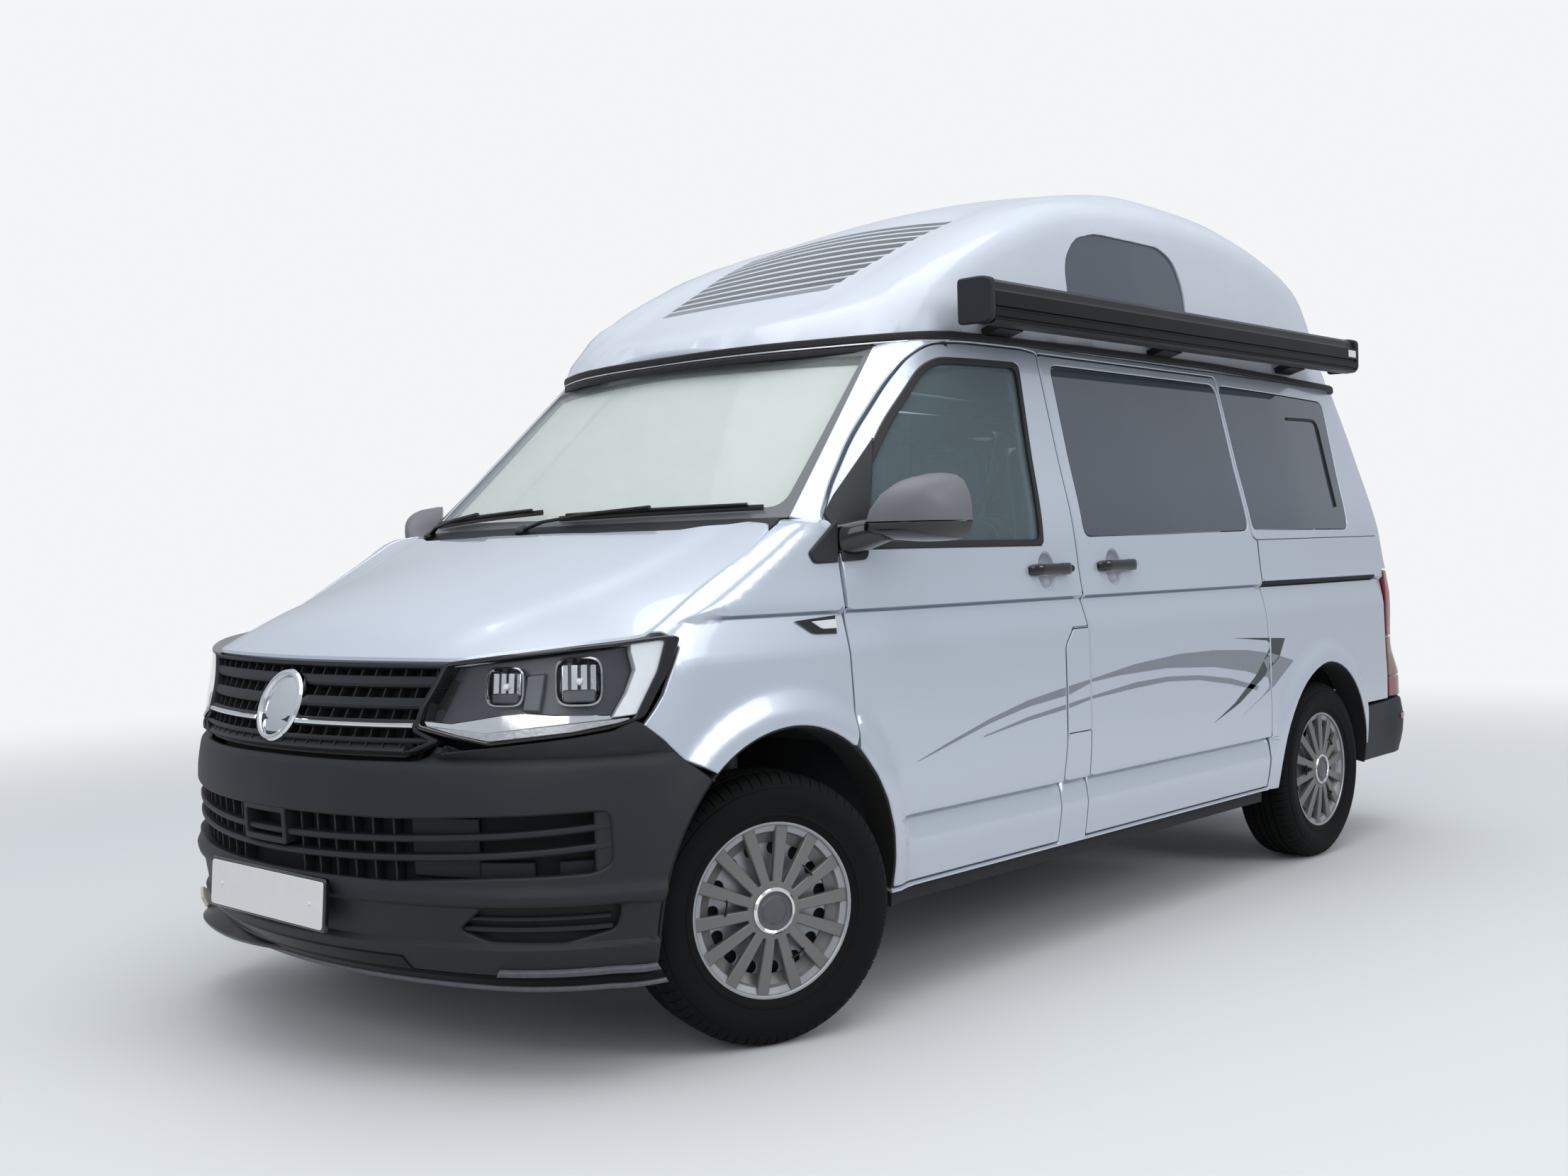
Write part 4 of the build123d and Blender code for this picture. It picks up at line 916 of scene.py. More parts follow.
# ---------------- headlamps
# A hard-coated polycarbonate lens is glued to a dark housing with two chromed reflector bowls.
# A bright shelf, a ribbed indicator and a pale outer strip fill the rest of the moulded bezel.
LAMP = [
    (481, 880), (476, 828), (572, 805), (650, 789), (798, 808), (849, 820), (878, 838), (889, 944), (891, 1026),
    (830, 1012), (707, 997), (527, 975),
]
LAMP_CORNERS = (6, 10, 8, 10, 10, 14, 20, 10, 14, 0, 0, 8)
# share of the bowl's half width, and distance back from its mouth
BOWL_PROFILE = (
    (0.2, 42), (0.72, 30), (1.08, 2), (1.08, -14), (1.0, -16), (0.97, -6), (0.88, 10), (0.7, 24), (0.45, 34),
    (0.2, 38),
)
# A clear skin with sharp glints, over a satin metallic bezel, milky white and bright broken reflections.
lens_clear = finish(
    "clear hard-coated polycarbonate", ("#f4f6f8", "#fbfcfd"), 300, (0.02, 0.04), alpha=0.12, transmission_weight=1.0,
    ior=1.2, coat_weight=0.5, coat_roughness=0.02,
)
lamp_grey = finish("satin dark grey lamp bezel", ("#4b4e53", "#5a5d62"), 60, (0.25, 0.35), metallic=0.6)
lamp_white = finish("pale diffusing lamp strip", ("#dfe3e8", "#eef1f4"), 20, (0.2, 0.3), coat_weight=0.5)
bowl_chrome = finish("faceted aluminised reflector", ("#8c9094", "#b4b8bc"), 26, (0.08, 0.14), metallic=1.0)
lamp_ribbed = finish("clear ribbed indicator lens", ("#9a9c9e", "#cfd2d4"), 8, (0.1, 0.25), bump=0.6, metallic=0.4)
loop = nose_skin.outline(rounded(LAMP, LAMP_CORNERS))
inner = nose_skin.outline(rounded(grown(LAMP, -9), 8))
deep = nose_skin.outline(rounded(grown(LAMP, -12), 8))
# name, outline, depth, step, edge, finish
LAMP_PANELS = (
    (
        "strip", [(850, 1012), (886, 1018), (885, 940), (872, 850), (846, 846), (856, 900), (860, 950), (852, 990)],
        (7, 40), 14, 1.5, lamp_white,
    ),
    (
        "shelf",
        [
            (488, 846), (500, 833), (640, 816), (760, 832), (846, 842), (842, 852), (770, 856), (716, 862),
            (668, 858), (612, 848), (560, 840),
        ],
        (8, 44), 16, 2, chrome,
    ),
    (
        "indicator", [(500, 833), (578, 813), (652, 799), (798, 817), (866, 836), (864, 843), (760, 831), (642, 817)],
        (5, 40), 16, 1, lamp_ribbed,
    ),
)
for side, hand in SIDES:
    rim = [shell(nose_skin, loop, [inner], depth=(-1, 60), step=24, edge=3, hand=hand)]
    make_piece("headlamp_rim_" + side, rim, gloss_black, replaces="headlamps" if hand > 0 else None)
    lens = shell(nose_skin, deep, depth=(1, 4), step=24, edge=1, hand=hand)
    make_piece("headlamp_lens_" + side, [lens], lens_clear)
    housing = shell(nose_skin, deep, depth=(46, 52), step=24, edge=1, hand=hand)
    make_piece("headlamp_housing_" + side, [housing], lamp_grey)
    for name, outline, depth, step, edge, material in LAMP_PANELS:
        part = panel(nose_skin, outline, depth=depth, step=step, edge=edge, hand=hand)
        make_piece(f"headlamp_{name}_{side}", [part], material)
    for label, x, z, wide, tall, turn in (("inner", 668, 922, 44, 42, 26), ("outer", 794, 930, 50, 52, 44)):
        seat = nose_skin.spot(z, 30, x=x)

        def seated(part):
            return sided(placed(part, seat, (-8, 0, turn)), hand)

        rings = []
        for share, back in BOWL_PROFILE:
            ring = oval(2 * wide * share, 2 * tall * share, 40, 4 if share > 0.8 else 3)
            facet = 1 + 0.07 * np.sign(np.sin(np.arange(40) * math.pi / 2 + 0.4)) * (0.3 < share < 0.95)
            rings.append(standing(ring * facet[:, None], back))
        mirrors = []
        for share, yaw in ((-0.66, 34), (-0.24, -10), (0.2, 24), (0.62, -30)):
            mirrors.append(seated(placed(slab(0.3 * wide, 3, 1.5 * tall, 3, 1), (share * wide, 2, 0), (0, 0, yaw))))
        shade = placed(slab(1.5 * wide, 26, 0.55 * tall, 8, 3), (0, 2, -0.62 * tall))
        bulb = turned_disc([(0.01, -12), (6, -10), (9, -2), (9, 22), (0.01, 22)], 20)
        make_piece(f"headlamp_bowl_{label}_{side}", [seated(lofted(rings))], bowl_chrome)
        make_piece(f"headlamp_facets_{label}_{side}", mirrors, chrome)
        make_piece(f"headlamp_shade_{label}_{side}", [seated(shade)], lamp_grey)
        make_piece(f"headlamp_bulb_{label}_{side}", [seated(bulb)], lamp_white)
    step_part = [(706, 868), (738, 866), (738, 950), (706, 946)]
    divider = panel(nose_skin, step_part, depth=(20, 46), step=16, edge=3, hand=hand)
    make_piece("headlamp_divider_" + side, [divider], lamp_grey)

# ---------------- bonnet
# A pressed steel lid with a raised centre and a rolled front lip, hemmed round an inner frame.
# It is hinged at its rear corners and painted with the body.
BONNET_ARCS = [
    (-2500, 848, 686), (-2345, 984, 832), (-2250, 1062, 895), (-2100, 1128, 971), (-1945, 1180, 1034),
    (-1800, 1226, 1113), (-1600, 1290, 1227), (-1470, 1317, 1295), (-1340, 1322, 1300),
]


def bonnet_height(x, y):
    table = np.array(BONNET_ARCS, float)
    crown, edge = smooth_curve(table[:, 0], table[:, 1], y), smooth_curve(table[:, 0], table[:, 2], y)
    flat = crown - (crown - edge) * (x / 860) ** 2
    crease = np.interp(y, (-2300, -1650), (430, 610))
    return flat - 7 * ramp(0, 90, np.abs(x) - crease) * ramp(-2330, -2200, y)


class Draped:
    """A surface given as a function of two lengths, with depth measured along its normal."""

    def __init__(self, place, out):
        self.place, self.out = place, np.array(out, float)

    def at(self, flat, depth=0.0):
        flat = np.asarray(flat, float)
        step = 4.0
        across = self.place(flat + [step, 0]) - self.place(flat - [step, 0])
        along = self.place(flat + [0, step]) - self.place(flat - [0, step])
        normal = np.cross(across, along)
        normal /= np.linalg.norm(normal, axis=1, keepdims=True) + 1e-9
        normal *= np.sign((normal * self.out).sum(1, keepdims=True))
        return self.place(flat) - normal * depth


bonnet_skin = Draped(lambda f: np.stack([f[:, 0], f[:, 1], bonnet_height(f[:, 0], f[:, 1])], 1), (0, -0.3, 1))
lip = []
for x in np.linspace(0, 862, 30):
    rows = np.linspace(-2480, -1800, 400)
    line = np.interp(x, (0, 538, 700, 890), (979, 980, 1003, 1031))
    lip.append((x, float(np.interp(line, bonnet_height(np.full(400, x), rows), rows))))
BONNET_EDGE_Y = (-1960, -1910, -1860, -1810, -1760, -1710, -1660, -1600, -1530)
BONNET_EDGE_X = (842, 842, 838, 835, 835, 838, 842, 846, 834)
lip = [(x, y) for x, y in lip if x < 838]
lid = lip + list(zip(BONNET_EDGE_X, BONNET_EDGE_Y))
lid += [(806, -1500), (735, -1490), (560, -1570), (280, -1628), (0, -1648)]
bonnet_loop = [tuple(p) for p in lid] + [(-x, y) for x, y in lid[::-1] if x > 1]
lid_piece = shell(bonnet_skin, bonnet_loop, depth=(0, 26), edge=5, step=32)
make_piece("bonnet_skin", [lid_piece], silver_paint, "bonnet", replaces="bonnet")

# ---------------- front wings
# Bolted steel wings turn over at the shoulder to meet the bonnet and run down to the arch and bumper.
# Each is one pressing, so the shoulder is a rolled shape and never a cut edge.
flank_nose = Skin(NOSE_LEVELS, "side", 225, 1300, -2250, -1200, side_relief)
stations = np.arange(-2250, -1300, 10.0)
lengths = np.arange(300, 1560, 5.0)
wing_grid = np.zeros((len(lengths), len(stations), 3))
crest = np.zeros(len(stations))
for j, run in enumerate(stations):
    zs = np.arange(300, 1301, 5.0)
    line = flank_nose.at(np.stack([np.full(len(zs), run), zs], 1))
    room = bonnet_height(line[:, 0], line[:, 1]) - line[:, 2]
    last = int(np.argmax(room < 0)) if (room < 0).any() else len(zs)
    share = 0 if last == len(zs) else room[last - 1] / (room[last - 1] - room[last])
    top = line[last - 1] + (line[min(last, len(zs) - 1)] - line[last - 1]) * share
    crest[j] = zs[last - 1] + 5 * share
    inwards = np.arange(0, 260, 6.0)
    xs, ys = top[0] - inwards, np.full(len(inwards), top[1])
    line = np.concatenate([line[: last - 1], np.stack([xs, ys, bonnet_height(xs, ys)], 1)])
    label = np.concatenate([zs[: last - 1], crest[j] + inwards])
    along = lengths_along(line)
    even = even_spacing(line, 2.0)
    labels = np.interp(np.arange(0, along[-1], 2.0), along, label)
    wide = np.pad(even, ((24, 24), (0, 0)), mode="reflect", reflect_type="odd")
    soft = np.stack([np.convolve(wide[:, k], bell(24, 8), "valid") for k in range(3)], 1)
    keep = ramp(crest[j] - 75, crest[j] - 40, labels)[:, None]
    even = even * (1 - keep) + soft * keep
    for k in range(3):
        wing_grid[:, j, k] = np.interp(lengths, labels, even[:, k])
wide = np.pad(wing_grid, ((0, 0), (6, 6), (0, 0)), mode="reflect", reflect_type="odd")
soft = sum(w * wide[:, k : k + len(stations)] for k, w in enumerate(bell(6, 2.2)))
keep = ramp(-75, -40, lengths[:, None] - crest[None])[..., None]
wing_grid = wing_grid * (1 - keep) + soft * keep


def wing_spot(y, z=None, x=None):
    """Where the wing reaches y and z on its flank, or y and x on its top."""
    found = []
    for line in np.swapaxes(wing_grid, 0, 1):
        if z is not None:
            top = int(np.argmax(line[:, 2])) + 1
            length = float(np.interp(z, line[:top, 2], lengths[:top]))
        else:
            part = slice(max(int(np.argmax(line[:, 0])), 60), None)
            length = float(np.interp(-x, -line[part, 0], lengths[part]))
        found.append((float(np.interp(length, lengths, line[:, 1])), length))
    ys, reach = np.array(found).T
    order = np.argsort(ys)
    return (float(np.interp(y, ys[order], stations[order])), float(np.interp(y, ys[order], reach[order])))


wing_skin = Patch(stations, lengths, wing_grid, (1, 0, 0.1))
wing_loop = [wing_spot(y, z=z) for y, z in arch_line(FRONT_ARCH, 57, 128, 0, 22)]
wing_loop += [(-1905, 737), (-1958, 786), (-2005, 824), (-1977, 854), (-1950, 888), (-1913, 960), (-1896, 994)]
wing_loop.append(wing_spot(-1925, x=862))
for y in np.linspace(-1945, -1600, 15):
    wing_loop.append(wing_spot(y, x=float(np.interp(y, BONNET_EDGE_Y, BONNET_EDGE_X)) + 3))
for y, x in ((-1540, 841), (-1500, 836), (-1468, 814), (-1440, 802), (-1405, 830)):
    wing_loop.append(wing_spot(y, x=x))
for y, z in (
    (-1364, 1240), (-1365, 1180), (-1361, 1110), (-1357, 1048), (-1348, 947), (-1341, 812), (-1343, 740),
    (-1350, 716),
):
    wing_loop.append(wing_spot(y, z=z))
for side, hand in SIDES:
    wing = shell(wing_skin, wing_loop, depth=(0, 22), step=24, edge=2.5, rows=CREASE_ROWS[:6], hand=hand)
    make_piece("wing_skin_" + side, [wing], silver_paint, replaces="wings" if hand > 0 else None)

# ---------------- high top
# A fixed glass-fibre roof, gel-coated silver, is laid up in one mould and bonded into the gutter.
# Its sides fold inwards above a soft arched crease, and black bands are let into its sloping front.
HIGH_TOP_ARCS = [
    (-1094, 20, 16, 1822.6, 10, 1822.8, 1823), (-1085, 200, 170, 1823, 120, 1824, 1825),
    (-1075, 270, 225, 1836, 150, 1844, 1848), (-1020, 470, 410, 1850, 280, 1872, 1884),
    (-930, 640, 585, 1868, 400, 1910, 1928), (-840, 750, 690, 1895, 440, 1950, 1972),
    (-740, 798, 748, 1965, 450, 2005, 2024), (-570, 803, 760, 2070, 455, 2098, 2118),
    (-330, 805, 758, 2180, 455, 2222, 2248), (-40, 805, 752, 2268, 455, 2338, 2366),
    (300, 804, 746, 2318, 455, 2428, 2460), (700, 802, 742, 2336, 455, 2482, 2516),
    (1050, 798, 738, 2326, 450, 2480, 2514), (1400, 794, 728, 2286, 440, 2440, 2470),
    (1700, 788, 712, 2216, 430, 2360, 2388), (1880, 770, 680, 2120, 420, 2250, 2275),
    (1985, 690, 590, 2000, 380, 2090, 2110), (2050, 560, 460, 1860, 300, 1890, 1900),
    (2062, 20, 16, 1823, 10, 1823.5, 1824.5),
]
GUTTER_TOP = 1822
ARCH_CREASE = [
    (-915, 1815), (-862, 1878), (-815, 1930), (-692, 2040), (-480, 2163), (-255, 2257), (60, 2320), (300, 2350),
]
SHORT_CREASE = [(-850, 1845), (-812, 1884), (-690, 1914), (-560, 1930)]
roof_ys = np.arange(-1090, 2061, 10.0)
roof_lengths = np.arange(-1500, 1501, 12.0)
table = np.array(HIGH_TOP_ARCS, float)
roof_rows = np.stack([smooth_curve(table[:, 0], table[:, k], roof_ys) for k in range(7)], 1)
roof_grid = np.zeros((len(roof_lengths), len(roof_ys), 3))
roof_reach = np.zeros(len(roof_ys))
for j, (y, base, crease_x, crease_z, shoulder_x, shoulder_z, crown) in enumerate(roof_rows):
    rise = shoulder_z - crease_z
    bulge = ((crease_x + shoulder_x) / 2 + 0.14 * rise, (crease_z + shoulder_z) / 2 + 0.08 * (crease_x - shoulder_x))
    top = arc_points((-shoulder_x, shoulder_z), (0, crown), (shoulder_x, shoulder_z), 41)[20:]
    side = arc_points((shoulder_x, shoulder_z), bulge, (crease_x, crease_z), 20)
    foot = np.linspace((crease_x, crease_z), (base, GUTTER_TOP), 20)
    below = np.array([(base + 0.5 * k, GUTTER_TOP - 4 * k) for k in range(1, 40)])
    line = np.concatenate([top, side[1:], foot[1:], below])
    roof_reach[j] = lengths_along(line)[len(top) + len(side) + len(foot) - 3]
    even = even_spacing(line, 4.0)
    even = np.concatenate([even[14:0:-1] * [-1, 1], even, 2 * even[-1] - even[-2:-16:-1]])
    even = np.stack([np.convolve(even[:, k], bell(14, 5.5), "valid") for k in range(2)], 1)
    out = np.interp(np.abs(roof_lengths), np.arange(len(even)) * 4.0, even[:, 0])
    roof_grid[:, j, 0] = out * np.sign(roof_lengths)
    roof_grid[:, j, 1] = y
    roof_grid[:, j, 2] = np.interp(np.abs(roof_lengths), np.arange(len(even)) * 4.0, even[:, 1])
facing = roof_grid * [1 / 400, 0, 0] + [0, 0, 1]
roof_skin = Patch(roof_ys, roof_lengths, roof_grid, facing)
side_view = roof_grid[..., 1:].reshape(-1, 2)
near_arch, near_short = [
    nearness(side_view, np.array(line + line[-2::-1], float)).reshape(roof_grid.shape[:2])
    for line in (ARCH_CREASE, SHORT_CREASE)
]
panel_edge = np.array(ARCH_CREASE + [(1500, 2300), (1900, 1990), (1900, 1815)], float)
behind = inside(side_view, panel_edge).reshape(roof_grid.shape[:2])
long_bead, short_bead = 13 * np.exp(-((near_arch / 20) ** 2)), 7 * np.exp(-((near_short / 15) ** 2))
ridge = long_bead + short_bead - 7 * behind * np.clip(near_arch / 60, 0, 1)
ridge *= ramp(600, 690, np.abs(roof_grid[..., 0])) * ramp(400, 0, roof_grid[..., 1])
roof_grid += roof_skin.normal * ridge[..., None]
roof_skin = Patch(roof_ys, roof_lengths, roof_grid, facing)


def roof_spot(y, z=None, x=None):
    """Where the left half of the roof reaches y and z on its side, or y and x on its top."""
    j = int(np.clip(round((y - roof_ys[0]) / 10), 0, len(roof_ys) - 1))
    half = roof_lengths >= 0
    line = roof_grid[half, j]
    if x is not None:
        return (y, math.copysign(float(np.interp(abs(x), line[:, 0], roof_lengths[half])), x))
    return (y, float(np.interp(-z, -line[:, 2], roof_lengths[half])))


# The gel coat is a little softer and paler than the paint; dust mottles the dark film.
gel_coat = finish(
    "silver gel-coated glass fibre", ("#c6ccd6", "#ced4dd"), 260, (0.2, 0.3), coat_weight=0.5, coat_roughness=0.08,
)
band_film = finish(
    "black film over moulded bands, mottled by dust", ("#0e0f11", "#2c2f34"), 55, (0.18, 0.42), coat_weight=0.3,
)
awning_film = finish("grey film over the foremost moulded band", ("#6d727a", "#7d828a"), 60, (0.3, 0.4))
BAND_WIDTH = 37
ROOF_WINDOW = [(-50, 1985), (-48, 2120), (30, 2205), (160, 2235), (560, 2240), (660, 2205), (710, 2110), (712, 1985)]
window_loop = [roof_spot(y, z=z) for y, z in divided(rounded(ROOF_WINDOW, (20, 60, 50, 30, 30, 50, 60, 20)), 25)]
edge_ys = list(range(-1090, -600, 10)) + list(range(-600, 1800, 40)) + list(range(1800, 2061, 10))
rim = [(y, float(np.interp(y, roof_ys, roof_reach)) + float(np.interp(y, (-900, -600), (8, -2)))) for y in edge_ys]
roof_loop = rim + [(y, -s) for y, s in rim[::-1]]
far_window_loop = [(y, -s) for y, s in window_loop]
bands = []
for k in range(11):
    y = -748 + 49.5 * k
    reach = 372 + 8.2 * k
    dip = 34 * (1 - k / 11)
    front = [(x, y - dip * (1 - (x / reach) ** 2)) for x in np.linspace(-reach, reach, 21)]
    back = [(x, yy + BAND_WIDTH) for x, yy in front[::-1]]
    bands.append(np.array([roof_spot(yy, x=x) for x, yy in front + back]))
high_top = shell(roof_skin, roof_loop, [window_loop, far_window_loop] + bands, depth=(0, 26), step=48, edge=1.5)
make_piece("high_top_moulding", [high_top], gel_coat, replaces="high_top")
inlays = [shell(roof_skin, moved_in(turned(band, 1), 0.6), depth=(0.8, 6), step=30, edge=1) for band in bands]
make_piece("roof_band_first", inlays[:1], awning_film)
make_piece("roof_band_inlays", inlays[1:], band_film)
panes = [shell(roof_skin, loop, depth=(7, 13), step=60, edge=1) for loop in (window_loop, far_window_loop)]
make_piece("roof_window_panes", panes, dark_glass, replaces="roof_windows")

# ---------------- windscreen
# Bonded laminated glass with a dark ceramic border; a pale insulated blind is fitted behind it for the night.
# Double black rubber seals with a bright line between them close the gap to the high top.
screen_skin = Skin(CABIN_LEVELS, "nose", 1235, 1830, -1250, 1250)
SCREEN = [(-790, 1300), (0, 1288), (790, 1300), (700, 1772), (690, 1790), (0, 1798), (-690, 1790), (-700, 1772)]
screen_loop = screen_skin.outline(rounded(SCREEN, (8, 0, 8, 0, 40, 0, 40, 0)))
clear_part = screen_skin.outline(rounded(grown(SCREEN, -30), 40))
# A satin border frames clear glass, whose pale grey-green tone is partly a painted reflection; behind it a pale
# quilted cloth shows soft dimples.
border_grey = finish("satin grey ceramic glass border", ("#54595c", "#5f6467"), 40, (0.3, 0.4))
blind_cloth = finish("pale quilted insulated blind", ("#d6dad6", "#e2e5e1"), 90, (0.6, 0.75), bump=1.2)
screen_glass = finish(
    "laminated glass with a painted pale reflection", ("#c3ccc8", "#cbd3d0"), 300, (0.01, 0.03), transmission_weight=0.6, ior=1.05, alpha=0.3,
    coat_weight=0.6,
)
pane = shell(screen_skin, screen_loop, depth=(3, 9), step=60, edge=1)
make_piece("windscreen_glass", [pane], screen_glass, replaces="windscreen")
border = shell(screen_skin, screen_loop, [clear_part], depth=(2.2, 2.9), step=60, edge=0.2)
make_piece("windscreen_border", [border], border_grey)
blind_loop = screen_skin.outline(rounded(grown(SCREEN, -36), 60))
blind = shell(screen_skin, blind_loop, depth=(24, 34), step=50, edge=4)
make_piece("windscreen_blind", [blind], blind_cloth)

front_line = [
    (0, -1092), (130, -1091), (260, -1082), (380, -1058), (470, -1026), (560, -980), (640, -936), (700, -890),
    (750, -846), (785, -790), (806, -720),
]
side_line = [(808, y) for y in np.linspace(-640, 1800, 30)] + [(800, 1840), (782, 1885), (755, 1925)]
seal_line = np.array(front_line + side_line, float)
seal_z = np.interp(
    seal_line[:, 1], (-1092, -1006, -738, 0, 840, 1790, 1930), (1800, 1804, 1822, 1836, 1842, 1824, 1818),
)
half_path = np.column_stack([seal_line, seal_z])
whole_path = np.concatenate([half_path[:0:-1] * [-1, 1, 1], half_path])
front_path = np.concatenate([half_path[10:0:-1] * [-1, 1, 1], half_path[:11]])
lower_path = [(x * 0.985, y - 22 + 0.018 * abs(x), z - 30) for x, y, z in front_path]
seals = [swept(whole_path, oval(20, 24, 12, 3)), swept(lower_path, oval(18, 20, 12, 3))]
make_piece("roof_joint_seals", seals, rubber)
lips = [
    swept([(x, -1084 + 0.00012 * x * x, 1820 - 0.00033 * x * x) for x in range(-260, 261, 20)], oval(14, 28, 12, 3))
]
lips.append(swept([(x, 2049 - 0.00003 * x * x, 1827) for x in range(-560, 561, 40)], oval(18, 22, 12, 3)))
make_piece("high_top_edge_lips", lips, gel_coat)
bright_path = [(x * 0.993, y - 13 + 0.009 * abs(x), z - 15) for x, y, z in front_path]
bright = finish("bright anodised aluminium strip", ("#c4c7ca", "#d0d3d6"), 50, (0.15, 0.25), metallic=0.9)
make_piece("roof_joint_bright_line", [swept(bright_path, oval(14, 6, 10, 3))], bright)
header = [(-672, 1788), (672, 1788), (660, 1826), (-660, 1826)]
make_piece("header_skin", [panel(screen_skin, header, depth=(2, 40), step=50)], silver_paint)

# ---------------- scuttle and wipers
# A charcoal moulded water catcher lies between bonnet and glass, ribbed where air is drawn in.
# Two parked wipers on sprung steel arms come up through it, their blades lying along the glass.
scuttle_xs = np.arange(-800, 801, 20.0)
back_y = np.interp(np.abs(scuttle_xs), (0, 280, 560, 735, 806), (-1648, -1628, -1570, -1490, -1500)) + 6
front_edge = np.column_stack([scuttle_xs, back_y, bonnet_height(scuttle_xs, back_y) - 18])
rear_flat = [(screen_skin.run_of(1302, x=x), 1302) for x in scuttle_xs]
rear_edge = screen_skin.at(rear_flat, 1)
shares = np.linspace(0, 1, 11)[:, None, None]
scuttle_grid = front_edge[None] * (1 - shares) + rear_edge[None] * shares
scuttle_grid[..., 2] -= 10 * np.sin(shares[..., 0] * math.pi)
scuttle_skin = Patch(scuttle_xs, np.linspace(0, 100, 11), scuttle_grid, (0, -0.2, 1))
scuttle = [shell(scuttle_skin, oblong(-770, 1, 770, 99), depth=(0, 30), step=40, edge=3)]
for x in np.arange(-700, 701, 28.0):
    scuttle.append(shell(scuttle_skin, oblong(x, 34, x + 12, 62), depth=(-2, 6), step=40, edge=1.5))
make_piece("scuttle_panel", scuttle, grained, replaces="scuttle")

blade_rubber = finish("wiper blade rubber and steel spine", ("#0d0d0e", "#161617"), 10, (0.35, 0.5))
for label, pivot_x, tip_x, tip_z, root_x, root_z in (
    ("left", -60, 712, 1322, 70, 1314), ("right", -700, -30, 1336, -700, 1316),
):

    def over_glass(t, lift):
        return screen_skin.spot(root_z + (tip_z - root_z) * t, -lift, x=root_x + (tip_x - root_x) * t)

    line = [over_glass(t, 7) for t in np.linspace(0, 1, 24)]
    spine = [over_glass(t, 20) for t in np.linspace(0.06, 0.94, 20)]
    start = scuttle_skin.at([(pivot_x, 70)], -12)[0]
    middle = line[12] + np.array([0, -16, 16])
    arm = [start, start + (middle - start) * 0.2 + [0, -10, 12], start + (middle - start) * 0.6 + [0, -8, 10], middle]
    cap = turned_disc([(0.01, -10), (16, -9), (20, -3), (20, 14), (0.01, 14)], 24)
    parts = [
        swept(line, oval(6, 16, 10)), swept(spine, oval(12, 9, 10)), swept(arm, oval(16, 9, 10, 3)),
        placed(cap, start, (-60, 0, 0)),
    ]
    make_piece("wiper_" + label, parts, blade_rubber)

# ---------------- awning
# A roll-out awning sits in an extruded aluminium case with a lead rail along its front and plastic end caps.
# Three brackets bolt the case to the side of the high top, just above the gutter.
# Powder coat: near black with a broad dull sheen.
awning_grey = finish(
    "near black powder-coated aluminium", ("#090a0b", "#0e0f11"), 160, (0.32, 0.42), specular_ior_level=0.2,
)
AWNING_SECTION = [
    (866, 1866), (864, 1978), (880, 1984), (925, 1985), (950, 1980), (968, 1968), (976, 1950), (978, 1946),
    (984, 1940), (985, 1900), (979, 1897), (979, 1892), (985, 1889), (984, 1872), (978, 1868), (978, 1863),
    (982, 1860), (974, 1852), (940, 1850), (936, 1856), (900, 1858), (896, 1864),
]


def awning_rise(y):
    return float(np.interp(y, (-760, 1688), (-16, 10)))


case_ys = (-742, -740, 300, 1668, 1670)
case = lofted([[(x, y, z + awning_rise(y)) for x, z in AWNING_SECTION] for y in case_ys])
make_piece("awning_case", [case], awning_grey, replaces="awning", sharp=24)
caps = []
for y0, y1 in ((-760, -741), (1669, 1688)):
    loop = turned(rounded([(862, 1855), (985, 1852), (985, 1975), (950, 1985), (862, 1985)], (14, 30, 44, 36, 14)), 1)
    small = moved_in(loop, 5)
    order = ((small, y0), (loop, y0 + 4), (loop, y1 - 4), (small, y1))
    caps.append(lofted([standing(r + [0, awning_rise(y)], y) for r, y in order]))
make_piece("awning_end_caps", caps, grained)
brackets = []
for y in (-500, 450, 1400):
    foot = [
        (806, 1846), (868, 1862), (868, 1950), (846, 1962), (790, 1948), (792, 1930), (836, 1936), (846, 1926),
        (846, 1884), (800, 1866),
    ]
    brackets.append(lofted([[(x, yy, z + awning_rise(y)) for x, z in foot] for yy in (y - 60, y + 60)]))
make_piece("awning_brackets", brackets, awning_grey)
label = [placed(slab(66, 1.2, 26, 3, 0.3), (985.4, 1625, 1930), (0, 0, 90))]
make_piece("awning_blank_label", label, plate_white)

# ---------------- door mirrors
# Each mirror has a satin grey upper shell clipped to a grained lower shell, with silvered glass behind.
# Its stubby arm is bolted through a black triangular sail at the front corner of the door window.
# A satin shell a shade darker than the paint; the glass shows a sharp image.
mirror_grey = finish("satin grey mirror shell", ("#696a6f", "#737479"), 60, (0.4, 0.5), bump=0.05)
mirror_glass = finish("silvered mirror glass", ("#b9c0c4", "#c6ccd0"), 300, (0.01, 0.02), metallic=1.0)
MIRROR_TABLE = [
    (972, 1240, 1284, 66, -1262), (984, 1236, 1300, 98, -1238), (1002, 1232, 1338, 126, -1216),
    (1022, 1230, 1372, 142, -1196), (1044, 1228, 1392, 150, -1176), (1068, 1227, 1401, 156, -1156),
    (1092, 1228, 1402, 158, -1138), (1114, 1230, 1397, 150, -1122), (1130, 1235, 1383, 134, -1111),
    (1141, 1246, 1356, 110, -1105), (1147, 1262, 1328, 78, -1102), (1148.5, 1280, 1304, 46, -1101),
]
MIRROR_ARM = (
    (880, -1318, 1232, (116, 96)), (925, -1312, 1238, (108, 88)), (965, -1300, 1250, (98, 76)),
    (1012, -1272, 1262, (74, 60)),
)
SPLIT_Z = 1278


